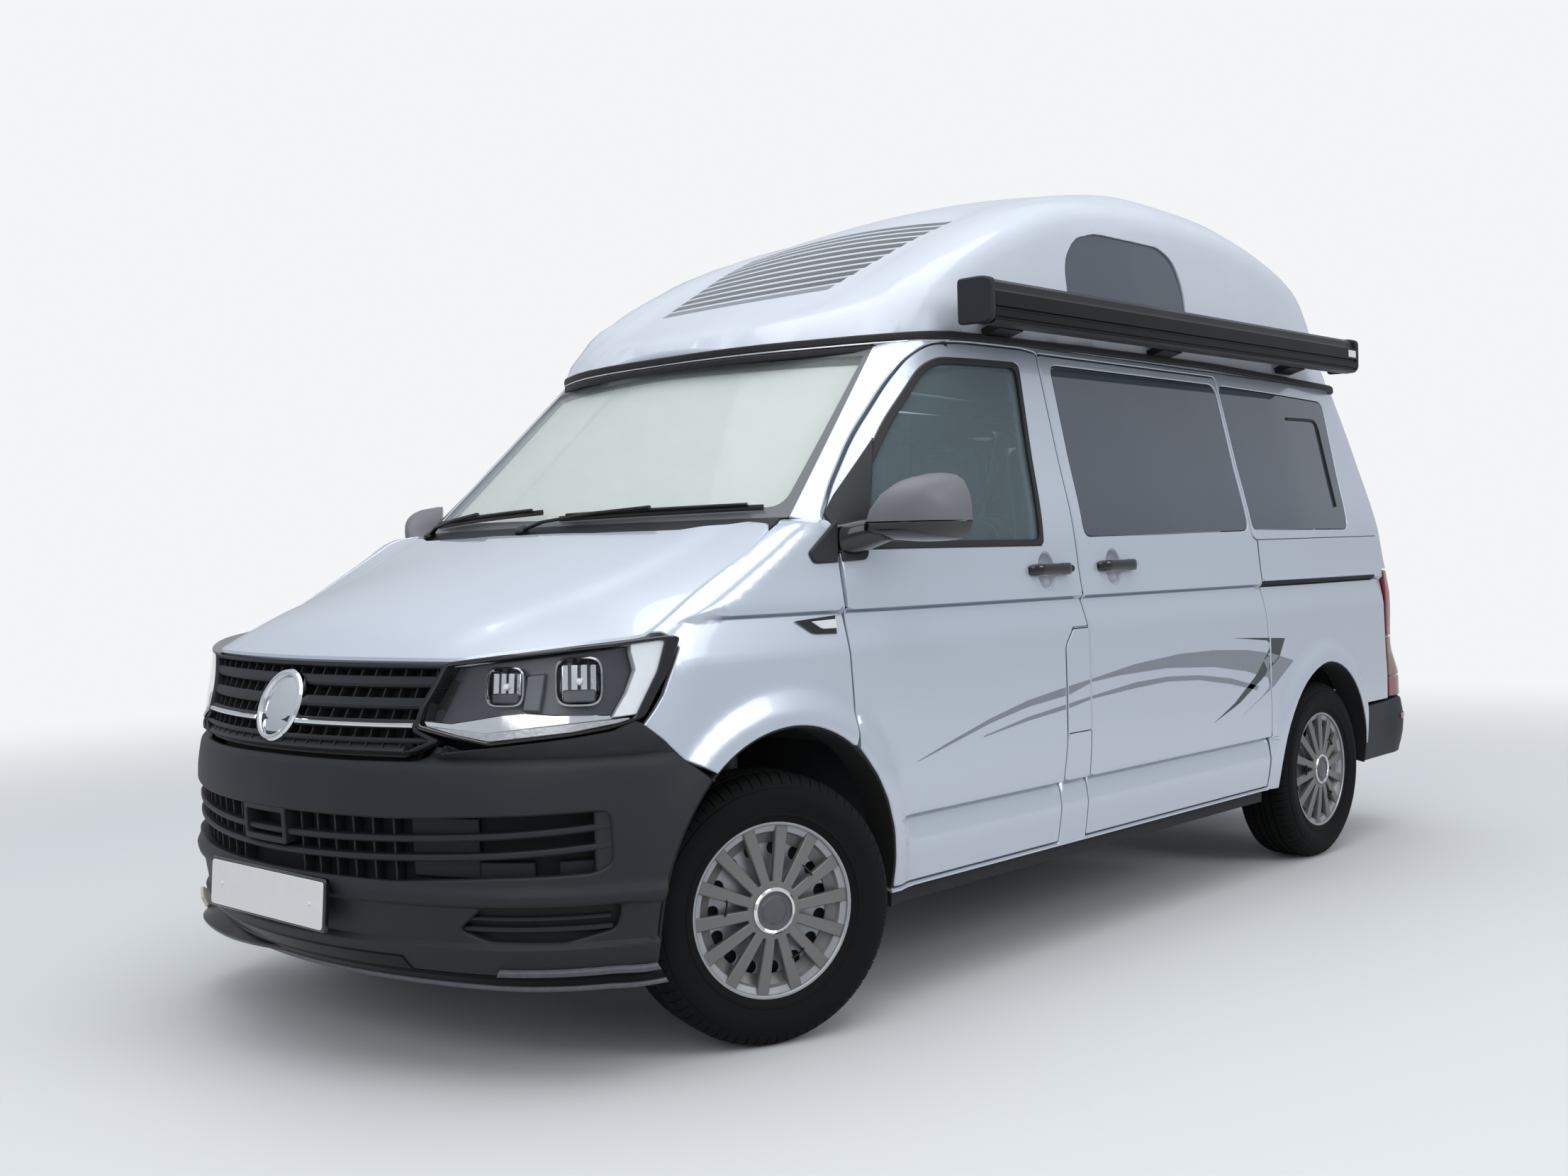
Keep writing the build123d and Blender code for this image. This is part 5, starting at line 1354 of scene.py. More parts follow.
def mirror_shell(upper):
    """Half of the mirror's case, swept outwards and a little back; its flat rear holds the glass."""
    rings = []
    for x, low, high, deep, rear in MIRROR_TABLE:
        a, b = (min(SPLIT_Z + 1.5, high - 2), high) if upper else (low, SPLIT_Z - 1.5)
        middle, half = (low + high) / 2, (high - low) / 2
        zs = np.linspace(b, a, 12)
        bulge = deep * np.clip(1 - np.abs((zs - middle) / half) ** 2.8, 0, 1) ** 0.5
        front = [(x, rear - 14 - max(d - 14, 4), z) for z, d in zip(zs, bulge)]
        back = [(x, rear, z) for z in np.linspace(a, b, 6)]
        rings.append(front + back)
    return lofted(rings)


sail_wing = [(-1361, 1292), (-1373, 1179), (-1456, 1177), (-1472, 1205)]
sail_door = [
    (-1351, 1300), (-1298, 1352), (-1118, 1508), (-1180, 1400), (-1228, 1295), (-1256, 1209), (-1270, 1184),
    (-1360, 1181),
]
for side, hand in SIDES:
    body = "front_door_" + side
    cap = [sided(mirror_shell(True), hand)]
    make_piece("mirror_upper_shell_" + side, cap, mirror_grey, body, "mirror_" + side, sharp=40)
    arm = lofted([np.column_stack([np.full(16, x), oval(*size, 16, 3) + [y, z]]) for x, y, z, size in MIRROR_ARM])
    lower = [sided(mirror_shell(False), hand), sided(arm, hand)]
    make_piece("mirror_lower_shell_" + side, lower, gloss_black, body, sharp=40)
    glass_loop = turned(
        rounded([(1016, 1236), (1130, 1236), (1134, 1366), (1112, 1396), (1062, 1399), (1024, 1362)], 16), 1,
    )
    small = moved_in(glass_loop, 1)
    back_x, back_y = np.array(MIRROR_TABLE)[:, [0, 4]].T
    rings = [
        (loop, np.interp(loop[:, 0], back_x, back_y) + push)
        for loop, push in ((glass_loop, -2), (glass_loop, 1), (small, 1.6))
    ]
    glass = lofted([np.column_stack([loop[:, 0], back, loop[:, 1]]) for loop, back in rings])
    make_piece("mirror_glass_" + side, [sided(glass, hand)], mirror_glass, body)
    sail = panel(
        side_skin, rounded(sail_door, (4, 4, 6, 60, 30, 10, 14, 4)), depth=(-9, 3), step=24, edge=4, hand=hand,
    )
    make_piece("mirror_sail_" + side, [sail], grained, body)
    sail = panel(flank_nose, rounded(sail_wing, (4, 4, 14, 10)), depth=(-8, 3), step=24, edge=4, hand=hand)
    make_piece("wing_sail_" + side, [sail], grained)

# ---------------- door handles
# Black moulded bar handles cross oval scoops pressed into the doors, which leave room for the fingers.
# A round cover beside each bar hides the lock barrel; the sliding door has a bright one.
def scoop(y, z, hand):
    """The pressed dish behind a handle, with its metal's thickness."""
    rings = []
    for share, depth in (
        (1.03, 22), (1.03, 2), (0.985, 1.4), (0.95, 4), (0.84, 10), (0.6, 15), (0.3, 17), (0.05, 17.5),
    ):
        rings.append(side_skin.at(scoop_loop(y, z, share), depth))
    return sided(lofted(rings), hand)


def bar_handle(y0, y1, z, hand):
    line, sizes = [], []
    for t in np.linspace(0, 1, 22):
        y = y0 + (y1 - y0) * t
        lift = 26 * min(1, math.sin(math.pi * t) * 2.2) ** 0.5
        line.append(side_skin.spot(z, -lift + 4, y=y))
        sizes.append(min(1, (math.sin(math.pi * (0.03 + 0.94 * t)) * 4) ** 0.5))
    rings = []
    for k, (p, s) in enumerate(zip(line, sizes)):
        section = oval(20 * s, 34 * s * (1.0 if k < 14 else 1.06), 18, 3)
        rings.append(standing(section + [p[0], p[2]], p[1]))
    return sided(lofted(rings), hand)


# name, body, scoop, ends of the bar in y, height, side
HANDLES = (
    ("front_left", "front_door_left", DOOR_SCOOP, -545, -334, 1140, 1),
    ("slider", "van", SLIDER_SCOOP, -172, 41, 1145, 1),
    ("front_right", "front_door_right", DOOR_SCOOP, -545, -334, 1140, -1),
)
lock = turned_disc([(0.01, -3), (8, -2.4), (10, 0), (10, 3), (0.01, 3)], 24)
for name, body, dish_at, y0, y1, z, hand in HANDLES:
    make_piece("handle_scoop_" + name, [scoop(*dish_at, hand)], silver_paint, body)
    make_piece("handle_bar_" + name, [bar_handle(y0, y1, z, hand)], gloss_black, body)
    spot = side_skin.spot(z, -25, y=y1 - 14) * [hand, 1, 1]
    lock_finish = chrome if name == "slider" else grained
    make_piece("handle_lock_" + name, [placed(lock, spot, (0, 0, 90 * hand))], lock_finish, body)

# ---------------- side repeaters and slider rail
# A black tapered surround carries a clear and white repeater on each wing.
# Along the flank, the sliding door's rail slot is a thin black sheet of painted shade, and dark strips are the shut
# lines of its panels.
for side, hand in SIDES:
    surround = [(-1526, 1037), (-1470, 1002), (-1388, 1000), (-1388, 1046)]
    lens = [(-1476, 1034), (-1440, 1014), (-1388, 1014), (-1388, 1037)]
    piece = panel(side_skin, rounded(surround, (4, 14, 2, 2)), depth=(-4, 3), step=20, edge=2, hand=hand)
    make_piece("repeater_surround_" + side, [piece], gloss_black)
    piece = panel(side_skin, rounded(lens, (4, 10, 2, 2)), depth=(-6, -2), step=20, edge=1.5, hand=hand)
    make_piece("repeater_lens_" + side, [piece], lamp_white)
# A black sheet over the rail's slot paints its shade.
rail = side_skin.outline(rounded([(916, 1049), (918, 1069), (1988, 1068), (1988, 1048)], 5))
slot_part = shell(side_skin, rail, depth=(-3, 4), step=40, edge=0.6, rows=CREASE_ROWS)
make_piece("slider_rail_slot_shade", [slot_part], painted_shade_black)
joints = [
    [(913, 1072), (915, 1072), (912, 1218), (910, 1218)], [(910, 1217), (2046, 1225), (2046, 1228), (910, 1220)],
]
lines = [shell(side_skin, side_skin.spots(divided(line, 60)), depth=(-0.35, 1), step=60, edge=0.2) for line in joints]
make_piece("rail_cover_joint", lines, rubber)
vent = [(1373, 1679), (1560, 1684), (1628, 1684), (1648, 1676), (1658, 1652), (1662, 1500), (1662, 1343)]
vent_line = [side_skin.spot(z, 0, y=y) for y, z in vent]
make_piece("rear_vent_seal", [swept(vent_line, oval(6, 11, 10, 3))], rubber)
rail_lip = [side_skin.spot(1073, -2, y=y) for y in np.linspace(922, 1984, 40)]
make_piece("slider_rail_lip", [swept(rail_lip, oval(6, 7, 10, 3))], silver_paint)

# ---------------- wheels and tyres
# Silver steel wheels wear fourteen-spoke grey plastic covers held on with black cable ties.
# Each tyre has four tread grooves, cut shoulders and a ribbed sidewall; the front pair is steered to the left.
# Painted plastic and steel catch soft metallic light; the rubber stays dull, with a little dust.
cover_grey = finish("satin grey painted wheel cover", ("#72716f", "#7a7977"), 4, (0.36, 0.46), metallic=0.45)
wheel_silver = finish("silver painted steel wheel", ("#93969a", "#a8abae"), 30, (0.28, 0.4), metallic=0.5)
tyre_rubber = finish(
    "dusty black tyre rubber", ("#090a0a", "#121313"), 22, (0.65, 0.85), bump=0.3, specular_ior_level=0.15,
)
hub_grey = finish("dark satin wheel centre", ("#55565a", "#606165"), 20, (0.35, 0.45), metallic=0.4)
SPOKES = 14


def domed(level):
    """A wheel face whose height depends on the distance from its centre."""
    return Draped(lambda f: np.stack([f[:, 0], level(np.hypot(f[:, 0], f[:, 1])), f[:, 1]], 1), (0, 1, 0))


def cover_level(r):
    return 93 - 9 * np.clip((r - 55) / 160, 0, 1.2) ** 1.4


def ring_points(radius, count):
    angles = np.linspace(0, 2 * math.pi, count, endpoint=False)
    return np.column_stack([radius * np.cos(angles), radius * np.sin(angles)])


def spoke_gap(k):
    """The V-shaped opening between two spokes of the cover."""
    middle = math.pi * (2 * k + 1) / SPOKES
    half_pitch = math.pi / SPOKES
    edge = []
    for radius, width in ((72, 12.6), (120, 14.2), (170, 15.6), (207, 16.5)):
        edge.append((radius, half_pitch - math.asin(width / radius)))
    outer = [(207, t) for t in np.linspace(edge[-1][1], -edge[-1][1], 6)[1:-1]]
    polar = edge + outer + [(r, -t) for r, t in edge[::-1]]
    return np.array([(r * math.cos(middle + t), r * math.sin(middle + t)) for r, t in polar])


gaps = [spoke_gap(k) for k in range(SPOKES)] + [ring_points(50, 40)]
cover = [shell(domed(cover_level), ring_points(214, 84), gaps, depth=(0, 17), step=24, edge=2.2)]
cover_dish = [
    turned_disc([(213, 84), (207, 80), (190, 68), (168, 60), (162, 58), (162, 54), (190, 63), (213, 80)], 84)
]
cover_rim = [turned_disc([(208, 80), (208, 88.5), (211, 91), (216, 91), (217.5, 88), (216, 80)], 84)]
centre_ring = [turned_disc([(57, 84), (58.5, 90), (57, 97), (53, 100), (48, 98), (46, 92), (46, 84)], 64)]
centre_disc = [
    turned_disc([(0.01, 97), (20, 97), (30, 95.5), (33, 92), (36, 90.5), (46.5, 91.5), (47, 84), (0.01, 84)], 48)
]
flat_disc = domed(lambda r: 50 + 5 * ramp(70, 130, r))
vents = [
    ring_points(17, 18) + [149 * math.cos(a), 149 * math.sin(a)]
    for a in np.linspace(0.1, 0.1 + 2 * math.pi, 15, endpoint=False)
]
steel = [shell(flat_disc, ring_points(177, 60), vents + [ring_points(38, 30)], depth=(0, 6), step=30, edge=1.5)]
steel.append(turned_disc([
    (176, 52), (176, -62), (180, -70), (186, -92), (214, -92), (214, -84), (196, -80), (190, -60), (190, 60),
    (196, 76), (212, 79), (212, 84), (192, 78), (184, 60), (180, 56),
], 84))
wheel_back = [turned_disc([(40, 40), (175, 40), (175, 36), (40, 36)], 48)]
ties = []
for angle in (math.radians(12.9), math.radians(141.4), math.radians(244.3)):
    out, along = np.array([math.cos(angle), 0, math.sin(angle)]), np.array([-math.sin(angle), 0, math.cos(angle)])
    path = [
        out * 130 + along * s + [0, cover_level(130) + rise, 0]
        for s, rise in ((-17.5, -17), (-17, 0), (-14.5, 4), (0, 4.6), (14.5, 4), (17, 0), (17.5, -17))
    ]
    ties.append(swept(path, oval(7, 4, 10, 3), up=tuple(out)))

tread = [
    (335.4, 0), (335.4, 4), (328, 5.5), (328, 13), (335.2, 14.5), (335, 33), (328, 34.5), (328, 42), (334.6, 43.5),
    (334, 62), (331.5, 74),
]
sidewall = [
    (326, 85), (316, 93), (306, 98.5), (300, 100.2), (298.5, 103), (294, 104.6), (283, 107.2), (266, 107),
    (262, 105.6), (250, 104.6), (240, 101.5), (237.5, 102.6), (233.5, 102.2), (231, 98.8), (222, 94.5), (216, 90.5),
    (214.6, 82),
]
inner = [(216, 66), (245, 86), (283, 91), (312, 80), (318, 60)]
half = tread + sidewall + inner
tyre_profile = [(r, y) for r, y in half] + [(r, -y) for r, y in half[:0:-1]]
BLOCKS, BLOCK_CUT = 72, 5.0
rings = []
for k in range(BLOCKS):
    for share, cut in ((0.0, BLOCK_CUT), (0.09, 0.0), (0.91, 0.0)):
        angle = 2 * math.pi * (k + share) / BLOCKS
        for r, y in tyre_profile:
            if abs(y) > 60 and r > 312 and r != 318:
                r -= cut
            rings.append((r * math.cos(angle), y, r * math.sin(angle)))
tyre_part = (np.array(rings), ring_faces(3 * BLOCKS, len(tyre_profile), True))
TRACK_X, KINGPIN_X, AXLE_Z = 814, 724, 335


def fitted(parts, axle_y, hand, lean, roll):
    """Wheel parts modelled round the Y axis, set on their axle and turned about the kingpin by the steering."""
    found = []
    for part in parts:
        verts, faces = placed(placed(part, turn=(0, roll, 0)), (hand * TRACK_X, axle_y, AXLE_Z), (0, 0, -90 * hand))
        pivot = np.array([hand * KINGPIN_X, axle_y, 0])
        found.append(placed((verts - pivot, faces), pivot, (0, 0, -lean)))
    return found


# name, parts, finish, slot, and whether it is rolled round with the ties
WHEEL_PIECES = (
    ("wheel_cover", cover, cover_grey, "wheel_silver", True),
    ("wheel_cover_dish", cover_dish, cover_grey, "wheel_silver", False),
    ("wheel_cover_rim", cover_rim, wheel_silver, "wheel_silver", False),
    ("wheel_centre_ring", centre_ring, chrome, "wheel_silver", False),
    ("wheel_centre_disc", centre_disc, hub_grey, "dark_plastic", False),
    ("steel_wheel", steel, wheel_silver, "wheel_silver", True),
    ("wheel_shadow_plate", wheel_back, painted_shade_black, "dark_plastic", False),
    ("cover_ties", ties, blade_rubber, "dark_plastic", True),
    ("tyre_rubber", [tyre_part], tyre_rubber, "tyre", False),
)
for end, axle_y, lean, roll in (("front", -1544, 20, 4.0), ("rear", 1456, 0, 9.0)):
    for side, hand in SIDES:
        label = f"{end}_{side}"
        stands_for = {"wheel_cover": "wheel_" + label, "tyre_rubber": "tyre_" + label}
        for name, parts, material, slot, rolled in WHEEL_PIECES:
            part = fitted(parts, axle_y, hand, lean, roll * rolled)
            sharp = 28 if name == "tyre_rubber" else 32
            make_piece(f"{name}_{label}", part, material, "wheel_" + label, stands_for.get(name), sharp)

# ---------------- wheel arch liners
# Black moulded liners close the space between each arch edge and the inner housing.
# They are clipped behind the edge and face the tyre with a coarse felt.
liner_felt = finish("black moulded arch liner", ("#070708", "#101011"), 6, (0.8, 0.95), bump=0.4)
arch_skin = Skin(NOSE_LEVELS, "side", 225, 1000, -2250, 2200, side_relief)
for label, arch, start, stop in (("front", FRONT_ARCH, -6, 186), ("rear", REAR_ARCH, -4, 184)):
    rings = []
    for y, z in arch_line(arch, start, stop, 1.5, 70):
        inward = np.array([arch[0] - y, arch[1] - z])
        near, far = (y, z), np.array([y, z]) + inward / np.hypot(*inward) * 7
        corners = ((near, 5), (near, 96), (far, 96), (far, 5))
        rings.append([arch_skin.spot(corner[1], depth, y=corner[0]) for corner, depth in corners])
    liner = lofted(rings)
    make_piece("arch_liners_" + label, [sided(liner, hand) for _, hand in SIDES], liner_felt)

# ---------------- side stripes
# Cut vinyl stripes in mid grey and a near black hook shape are stuck to both flanks.
# They are trimmed at every shut line, so each door carries its own length.
# Flat film colours that sit quietly on the bright paint.
stripe_grey = finish("mid grey vinyl stripe", ("#7c828b", "#838992"), 120, (0.3, 0.38), coat_weight=0.3)
stripe_dark = finish("near black vinyl hook", ("#15201c", "#1c2823"), 120, (0.25, 0.35), coat_weight=0.3)
UPPER_ONE = [
    (-1116, 644), (-977, 681), (-771, 731), (-582, 767), (-365, 792), (-233, 805), (20, 833), (302, 848), (539, 846),
    (769, 833), (949, 812),
]
LOWER_ONE = [
    (-1116, 643), (-977, 673), (-771, 718), (-583, 748), (-366, 766), (-233, 795), (-77, 804), (217, 807), (536, 789),
    (765, 759),
]
UPPER_TWO = [
    (-817, 683), (-584, 719), (-367, 740), (-235, 753), (17, 775), (216, 779), (426, 769), (648, 743), (859, 700),
]
LOWER_TWO = [
    (-817, 682), (-787, 684), (-584, 708), (-367, 726), (-235, 744), (16, 757), (215, 763), (425, 753), (647, 723),
    (846, 686),
]


def strip_between(upper, lower, low_y, high_y, tail=()):
    """The part of a stripe between two shut lines, as a closed outline of (y, z)."""
    found = []
    for line in (upper, lower):
        ys, zs = zip(*line)
        cut_ys = [low_y] + [y for y in ys if low_y < y < high_y] + ([high_y] if high_y < ys[-1] else [ys[-1]])
        found.append([(y, float(np.interp(y, ys, zs))) for y in dict.fromkeys(cut_ys)])
    top, bottom = found
    joined = top + list(tail) + [p for p in bottom[::-1] if p not in top]
    return joined


def sticker(outline, hand):
    return shell(side_skin, side_skin.spots(divided(outline, 40)), depth=(-0.7, 0.5), step=40, edge=0.2, hand=hand)


FRONT_END, FLAP_ENDS, REST = -383, (-366, -248), -236
for side, hand in SIDES:
    door_parts = [
        sticker(strip_between(UPPER_ONE, LOWER_ONE, -1100, FRONT_END), hand),
        sticker(strip_between(UPPER_TWO, LOWER_TWO, -800, FRONT_END), hand),
    ]
    make_piece("stripes_front_door_" + side, door_parts, stripe_grey, "front_door_" + side)
    if side == "left":
        flap_parts = [
            sticker(strip_between(u, low, *FLAP_ENDS), hand)
            for u, low in ((UPPER_ONE, LOWER_ONE), (UPPER_TWO, LOWER_TWO))
        ]
        make_piece("stripes_fuel_flap", flap_parts, stripe_grey, "fuel_flap")
    start = REST if side == "left" else -372
    arrow = [(949, 681), (736, 608), (882, 661), (944, 690), (933, 725)]
    rest = [sticker(strip_between(UPPER_ONE, LOWER_ONE, start, 949, arrow), hand)]
    rest.append(sticker([(962, 810), (1139, 774), (982, 693), (962, 686)], hand))
    rest.append(sticker(strip_between(UPPER_TWO, LOWER_TWO, start, 859), hand))
    make_piece("stripes_side_" + side, rest, stripe_grey)
    hook = [sticker([(678, 880), (949, 866.5), (949, 848.5), (927, 858)], hand)]
    hook.append(sticker([(949, 830), (949, 758), (884, 723), (714, 652), (530, 600), (679, 655), (836, 737)], hand))
    hook.append(sticker([(962, 865), (1071, 859), (1024, 793), (962, 762)], hand))
    make_piece("hook_stripe_" + side, hook, stripe_dark)

# ---------------- sills
# A bright pinched seam runs along the foot of each flank, where skin and inner sill are spot-welded.
# Below it a black textured band stands partly for the underbody's black and partly for painted shade under the sill.
sill_black_and_shade = finish("black textured sill band, partly painted shade", ("#17181a", "#212224"), 9, (0.7, 0.85), bump=0.5)
for side, hand in SIDES:
    line = [side_skin.spot(320, -1, y=y) for y in np.linspace(-1205, 958, 60)]
    part = swept(line, oval(9, 7, 10, 3))
    make_piece("sill_seam_" + side, [sided(part, hand)], silver_paint)
    # The black band below the seam is partly underbody black, partly painted shade.
    line = [side_skin.at([(side_skin.run_of(295, y=y), 292)], 22)[0] for y in np.linspace(-1180, 950, 40)]
    part = swept(line, oval(16, 52, 12, 4))
    make_piece("sill_dark_band_" + side, [sided(part, hand)], sill_black_and_shade)

# ---------------- tail: lamps, tailgate and rear bumper
# Tall red lamps wrap the rear corners beside a one-piece lifting tailgate with a bonded pane.
# The rear bumper is one charcoal moulding that swells at its corners, with a small red reflector on each.
def bumper_swell(x, y, z):
    return 12 * ramp(318, 420, z) * ramp(556, 470, z) * ramp(1990, 2170, y) * ramp(500, 760, x)


TAIL_LEVELS = []
for row in CABIN_LEVELS:
    row = list(row)
    if row[0] < 900:
        row[7:11] = row[7] - 3, row[8] - 62, row[9] - 25, row[10] - 10
    elif row[0] < 1200:
        row[8] -= 25
    TAIL_LEVELS.append(row)
tail_skin = Skin(TAIL_LEVELS, "tail", 225, 1830, -1500, 1500)
bumper_skin = Skin(TAIL_LEVELS, "tail", 225, 700, -1700, 1700, bumper_swell)
# Deep ribbed plastic that glints along its ribs.
red_lens = finish("red moulded lamp lens", ("#6d0a10", "#8c1018"), 14, (0.08, 0.2), bump=0.3, coat_weight=0.8)
amber_lens = finish("smoked amber lamp lens", ("#7a4a30", "#8d5a3c"), 14, (0.1, 0.2), bump=0.3, coat_weight=0.8)


def lamp_part(low, high, hand, depth):
    """A slice of the tail lamp between two heights, from the tailgate's edge round to the flank."""
    zs = np.linspace(low, high, 14)
    inner = tail_skin.spots([(float(np.interp(z, (560, 1085), (712, 706))), z) for z in zs])
    outer = [(tail_skin.run_of(z, y=float(np.interp(z, (547, 1088), (2112, 2096)))), z) for z in zs[::-1]]
    return shell(tail_skin, rounded(inner + outer, 3), depth=depth, step=40, edge=4, hand=hand)


for side, hand in SIDES:
    red = [lamp_part(812, 1084, hand, (-4, 34)), lamp_part(560, 642, hand, (-3, 34))]
    make_piece("tail_lamp_red_" + side, red, red_lens, replaces="tail_lamps" if hand > 0 else None)
    make_piece("tail_lamp_amber_" + side, [lamp_part(646, 808, hand, (-3.5, 34))], amber_lens)

TAILGATE = [(-700, 562), (700, 562), (692, 1000), (676, 1238), (612, 1772), (-612, 1772), (-676, 1238), (-692, 1000)]
TAILGATE_WINDOW = [(-600, 1270), (600, 1270), (540, 1715), (-540, 1715)]
gate_loop = tail_skin.outline(rounded(TAILGATE, (26, 26, 0, 0, 60, 60, 0, 0)))
gate_hole = tail_skin.outline(rounded(TAILGATE_WINDOW, 50))
gate = shell(tail_skin, gate_loop, [gate_hole], depth=(0, 44), step=50, edge=3)
make_piece("tailgate_skin", [gate], silver_paint, "tailgate", replaces="tailgate")
gate_pane = tail_skin.outline(rounded(grown(TAILGATE_WINDOW, -3), 48))
pane = shell(tail_skin, gate_pane, depth=(2, 8), step=70, edge=1)
make_piece("tailgate_pane", [pane], dark_glass, "tailgate", replaces="tailgate_glass")
strip = rounded([(-270, 1066), (270, 1066), (262, 1104), (-262, 1104)], 12)
handle = shell(tail_skin, strip, depth=(-15, 3), step=30, edge=6)
make_piece("tailgate_handle_strip", [handle], silver_paint, "tailgate")
plate_spot = tail_skin.at([(0, 950)], -7)[0]
plate = placed(slab(520, 5, 111, 10, 1), plate_spot, (-9, 0, 180))
make_piece("rear_number_plate", [plate], plate_white, "tailgate")
holder = placed(slab(534, 10, 124, 8), plate_spot + [0, -6, 0], (-9, 0, 180))
make_piece("rear_plate_holder", [holder], gloss_black, "tailgate")

header = tail_skin.outline([(-630, 1779), (630, 1779), (600, 1829), (-600, 1829)])
make_piece("rear_header_skin", [shell(tail_skin, header, depth=(2, 44), step=50)], silver_paint)

half = [(0, 322)]
for row, y, z in (
    (330, 1848, 322), (430, 1842, 430), (540, 1844, 540), (545, 1960, 543), (545, 2090, 546), (545, 2150, 552),
):
    half.append((bumper_skin.run_of(row, y=y), z))
bumper_outline = both_halves(half + [(720, 552), (0, 552)])
rear_moulding = [shell(bumper_skin, bumper_outline, depth=(-6, 24), step=36, edge=7)]
make_piece("rear_bumper_moulding", rear_moulding, grained, replaces="rear_bumper")
for side, hand in SIDES:
    a, b = sorted((bumper_skin.run_of(480, y=2185), bumper_skin.run_of(480, y=2262)))
    reflector = shell(bumper_skin, rounded(oblong(a, 466, b, 486), 5), depth=(-9.5, -5), step=30, edge=1.5, hand=hand)
    make_piece("rear_reflector_" + side, [reflector], red_lens)

# ---------------- cabin furniture
# Each cab seat is foam on a boxed base, with a tall back and a headrest on two steel posts.
# The three-seat bench behind folds to a bed and is trimmed in the same woven cloth.
# Woven cloth looks matt and a little hairy at the edges.
cloth = finish("charcoal woven seat cloth", ("#3b3e44", "#4c5057"), 2.2, (0.75, 0.9), bump=0.5, sheen_weight=0.3)
piping = finish("grey seat piping", ("#6d7178", "#7a7e85"), 3, (0.6, 0.7), bump=0.2)
seat_base = finish("black powder-coated steel", ("#1c1d1f", "#252628"), 5, (0.45, 0.6), bump=0.1)


def cushion(width, deep, tall, crown):
    """A stuffed block centred on its foot: sides pulled in between the corners, top crowned, foot flat."""

    def swell(loop):
        return crown * (1 - (loop[:, 0] / width * 2) ** 2) * (1 - (loop[:, 1] / deep * 2) ** 2)

    rings = []
    for t in (-0.995, -0.97, -0.9, -0.7, -0.4, 0.0, 0.4, 0.68, 0.86, 0.95, 0.99):
        scale = (1 - abs(t) ** (9 if t < 0 else 5)) ** (1 / 5)
        loop = oval(width, deep, 56, 7) * scale
        pull = 1 - 0.022 * np.cos(loop[:, 0] / width * math.pi) * np.cos(loop[:, 1] / deep * math.pi) * (1 - t * t)
        loop = loop * pull[:, None]
        rings.append(np.column_stack([loop, tall * (t + 1) / 2 + swell(loop) * max(t, 0)]))
    seam = rings[7] * [1.004, 1.004, 1]
    last = rings[-1]
    for share in (0.75, 0.5, 0.25, 0.04):
        loop = last[:, :2] * share
        rings.append(np.column_stack([loop, tall * 0.997 + swell(loop)]))
    return lofted(rings), swept(seam, oval(5, 5, 8), closed=True)


def seat_cushion(name, size, at, turn, crown, replaces=None):
    foam, edge = cushion(*size, crown)
    pad = make_piece(name, [placed(foam, at, turn)], cloth, replaces=replaces, sharp=60)
    make_piece(name + "_piping", [placed(edge, at, turn)], piping)


SEAT_X = 435
for side, hand in SIDES:
    x = hand * SEAT_X
    replaces = "cab_seats" if hand > 0 else None
    seat_cushion("cab_seat_cushion_" + side, (500, 480, 150), (x, -545, 602), (4, 0, 0), 22, replaces)
    seat_cushion("cab_seat_back_" + side, (490, 600, 100), (x, -186, 1018), (97, 0, 0), 26)
    seat_cushion("cab_headrest_" + side, (260, 175, 78), (x, -198, 1436), (94, 0, 0), 14)
    foot = [placed(slab(430, 520, 140, 20, 6), (x, -490, 528)), placed(slab(380, 90, 160, 14, 6), (x, -232, 660))]
    for post in (x - 60, x + 60):
        foot.append(swept([(post, -232, 1290), (post, -234, 1400)], oval(14, 14, 14)))
    make_piece("cab_seat_base_" + side, foot, seat_base)
seat_cushion("bench_seat_cushion", (900, 540, 170), (105, 1276, 688), (3, 0, 0), 26, "bench_seat")
seat_cushion("bench_seat_back", (900, 560, 110), (105, 1694, 985), (98, 0, 0), 28)
make_piece("bench_seat_base", [placed(slab(880, 530, 220, 14, 6), (105, 1280, 574))], seat_base)

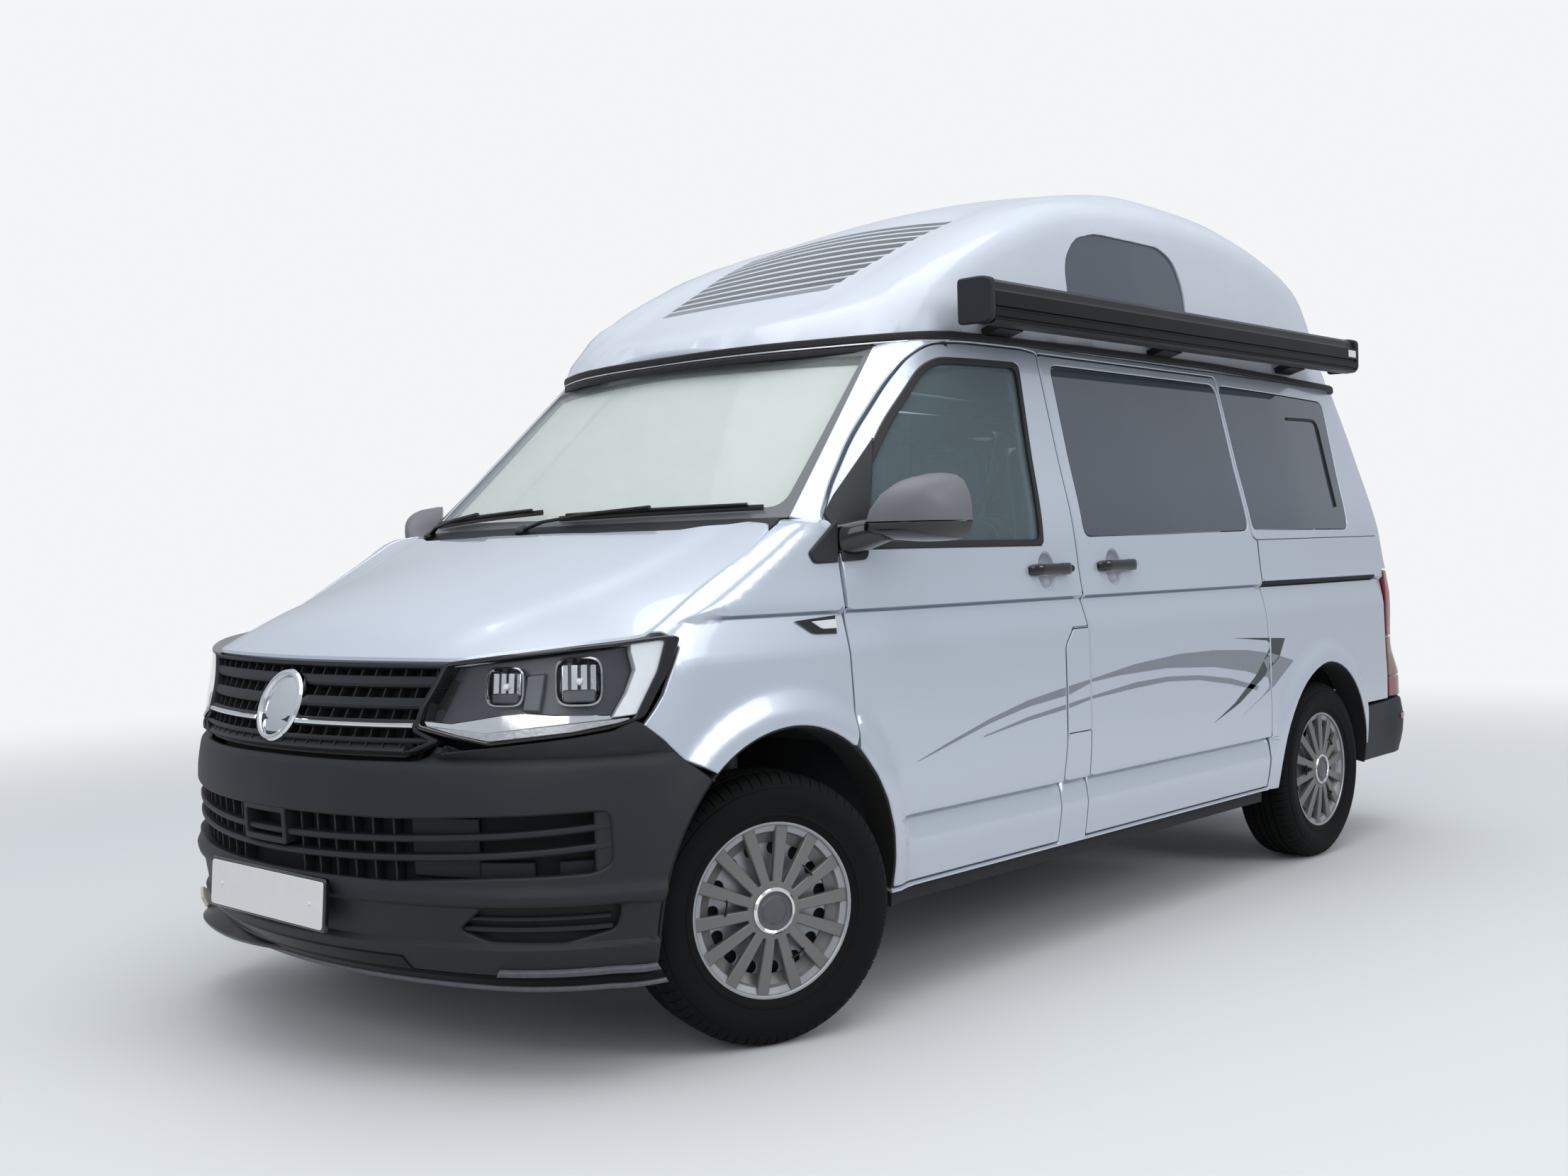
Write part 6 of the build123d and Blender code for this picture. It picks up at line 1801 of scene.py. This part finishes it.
# ---------------- doors' inner trim
# Moulded charcoal cards line the front doors and are clipped to their inner pressings.
# Each has an armrest that stands off the card.
for side, hand in SIDES:
    card = [
        (-1320, 800), (-1318, 1180), (-480, 1190), (-340, 1180), (-330, 1010), (-440, 930), (-440, 480), (-1080, 400),
        (-1080, 620), (-1270, 740),
    ]
    parts = [panel(side_skin, rounded(card, 40), depth=(46.5, 55), step=60, edge=4, hand=hand)]
    rest = [(-1000, 880), (-1000, 930), (-520, 950), (-500, 900)]
    parts.append(panel(side_skin, rounded(rest, 20), depth=(50, 74), step=30, edge=8, hand=hand))
    make_piece("door_card_" + side, parts, grained, "front_door_" + side)

# ---------------- carried-over structure
# Floor, wheel housings, frames, dash, kitchen and running gear keep the shapes of the CAD frame.
# Each gets a finish of its own, since most of them are seen only through glass or under the body.
# Worn, mostly dull surfaces; only the laminate and the leather have a soft sheen.
painted_floor = finish("grey sealed floor pan", ("#3a3c3f", "#46484b"), 30, (0.6, 0.75), bump=0.4)
dash_grain = finish("black grained dashboard foam", ("#1d1e21", "#26272a"), 2, (0.6, 0.75), bump=0.15)
laminate = finish("pale ash furniture laminate", ("#b9ab93", "#c8bba4"), 18, (0.35, 0.5), bump=0.05)
cast_iron = finish("dusty cast aluminium", ("#5c5e60", "#74767a"), 7, (0.5, 0.7), bump=0.4, metallic=0.6)
black_steel = finish("black chassis paint under road dust", ("#0a0a0b", "#161616"), 40, (0.65, 0.85), bump=0.2)
exhaust_steel = finish("browned stainless exhaust", ("#6e675e", "#8b857c"), 60, (0.35, 0.55), bump=0.1, metallic=0.85)
tank_plastic = finish("black blow-moulded polyethylene", ("#151617", "#1d1e1f"), 25, (0.5, 0.65), bump=0.3)
wheel_leather = finish("black stitched rim leather", ("#161616", "#1f1f20"), 1.6, (0.45, 0.6), bump=0.2)
KEPT = {
    "floor_pan": (painted_floor, "underseal"), "wheel_housings": (black_steel, "underseal"),
    "rear_frame": (silver_paint, "silver_paint"), "front_header": (silver_paint, "silver_paint"),
    "dashboard": (dash_grain, "liner"), "steering_wheel": (wheel_leather, "dark_plastic"),
    "kitchen_unit": (laminate, "cabinet"), "engine_block": (cast_iron, "cast"),
    "front_subframe": (black_steel, "underseal"), "rear_axle": (black_steel, "underseal"),
    "fuel_tank": (tank_plastic, "dark_plastic"), "exhaust": (exhaust_steel, "exhaust_steel"),
    "knuckle_left": (cast_iron, "cast"), "knuckle_right": (cast_iron, "cast"),
}
for name, (material, slot_name) in KEPT.items():
    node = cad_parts[name]
    node.data.materials.clear()
    node.data.materials.append(material)
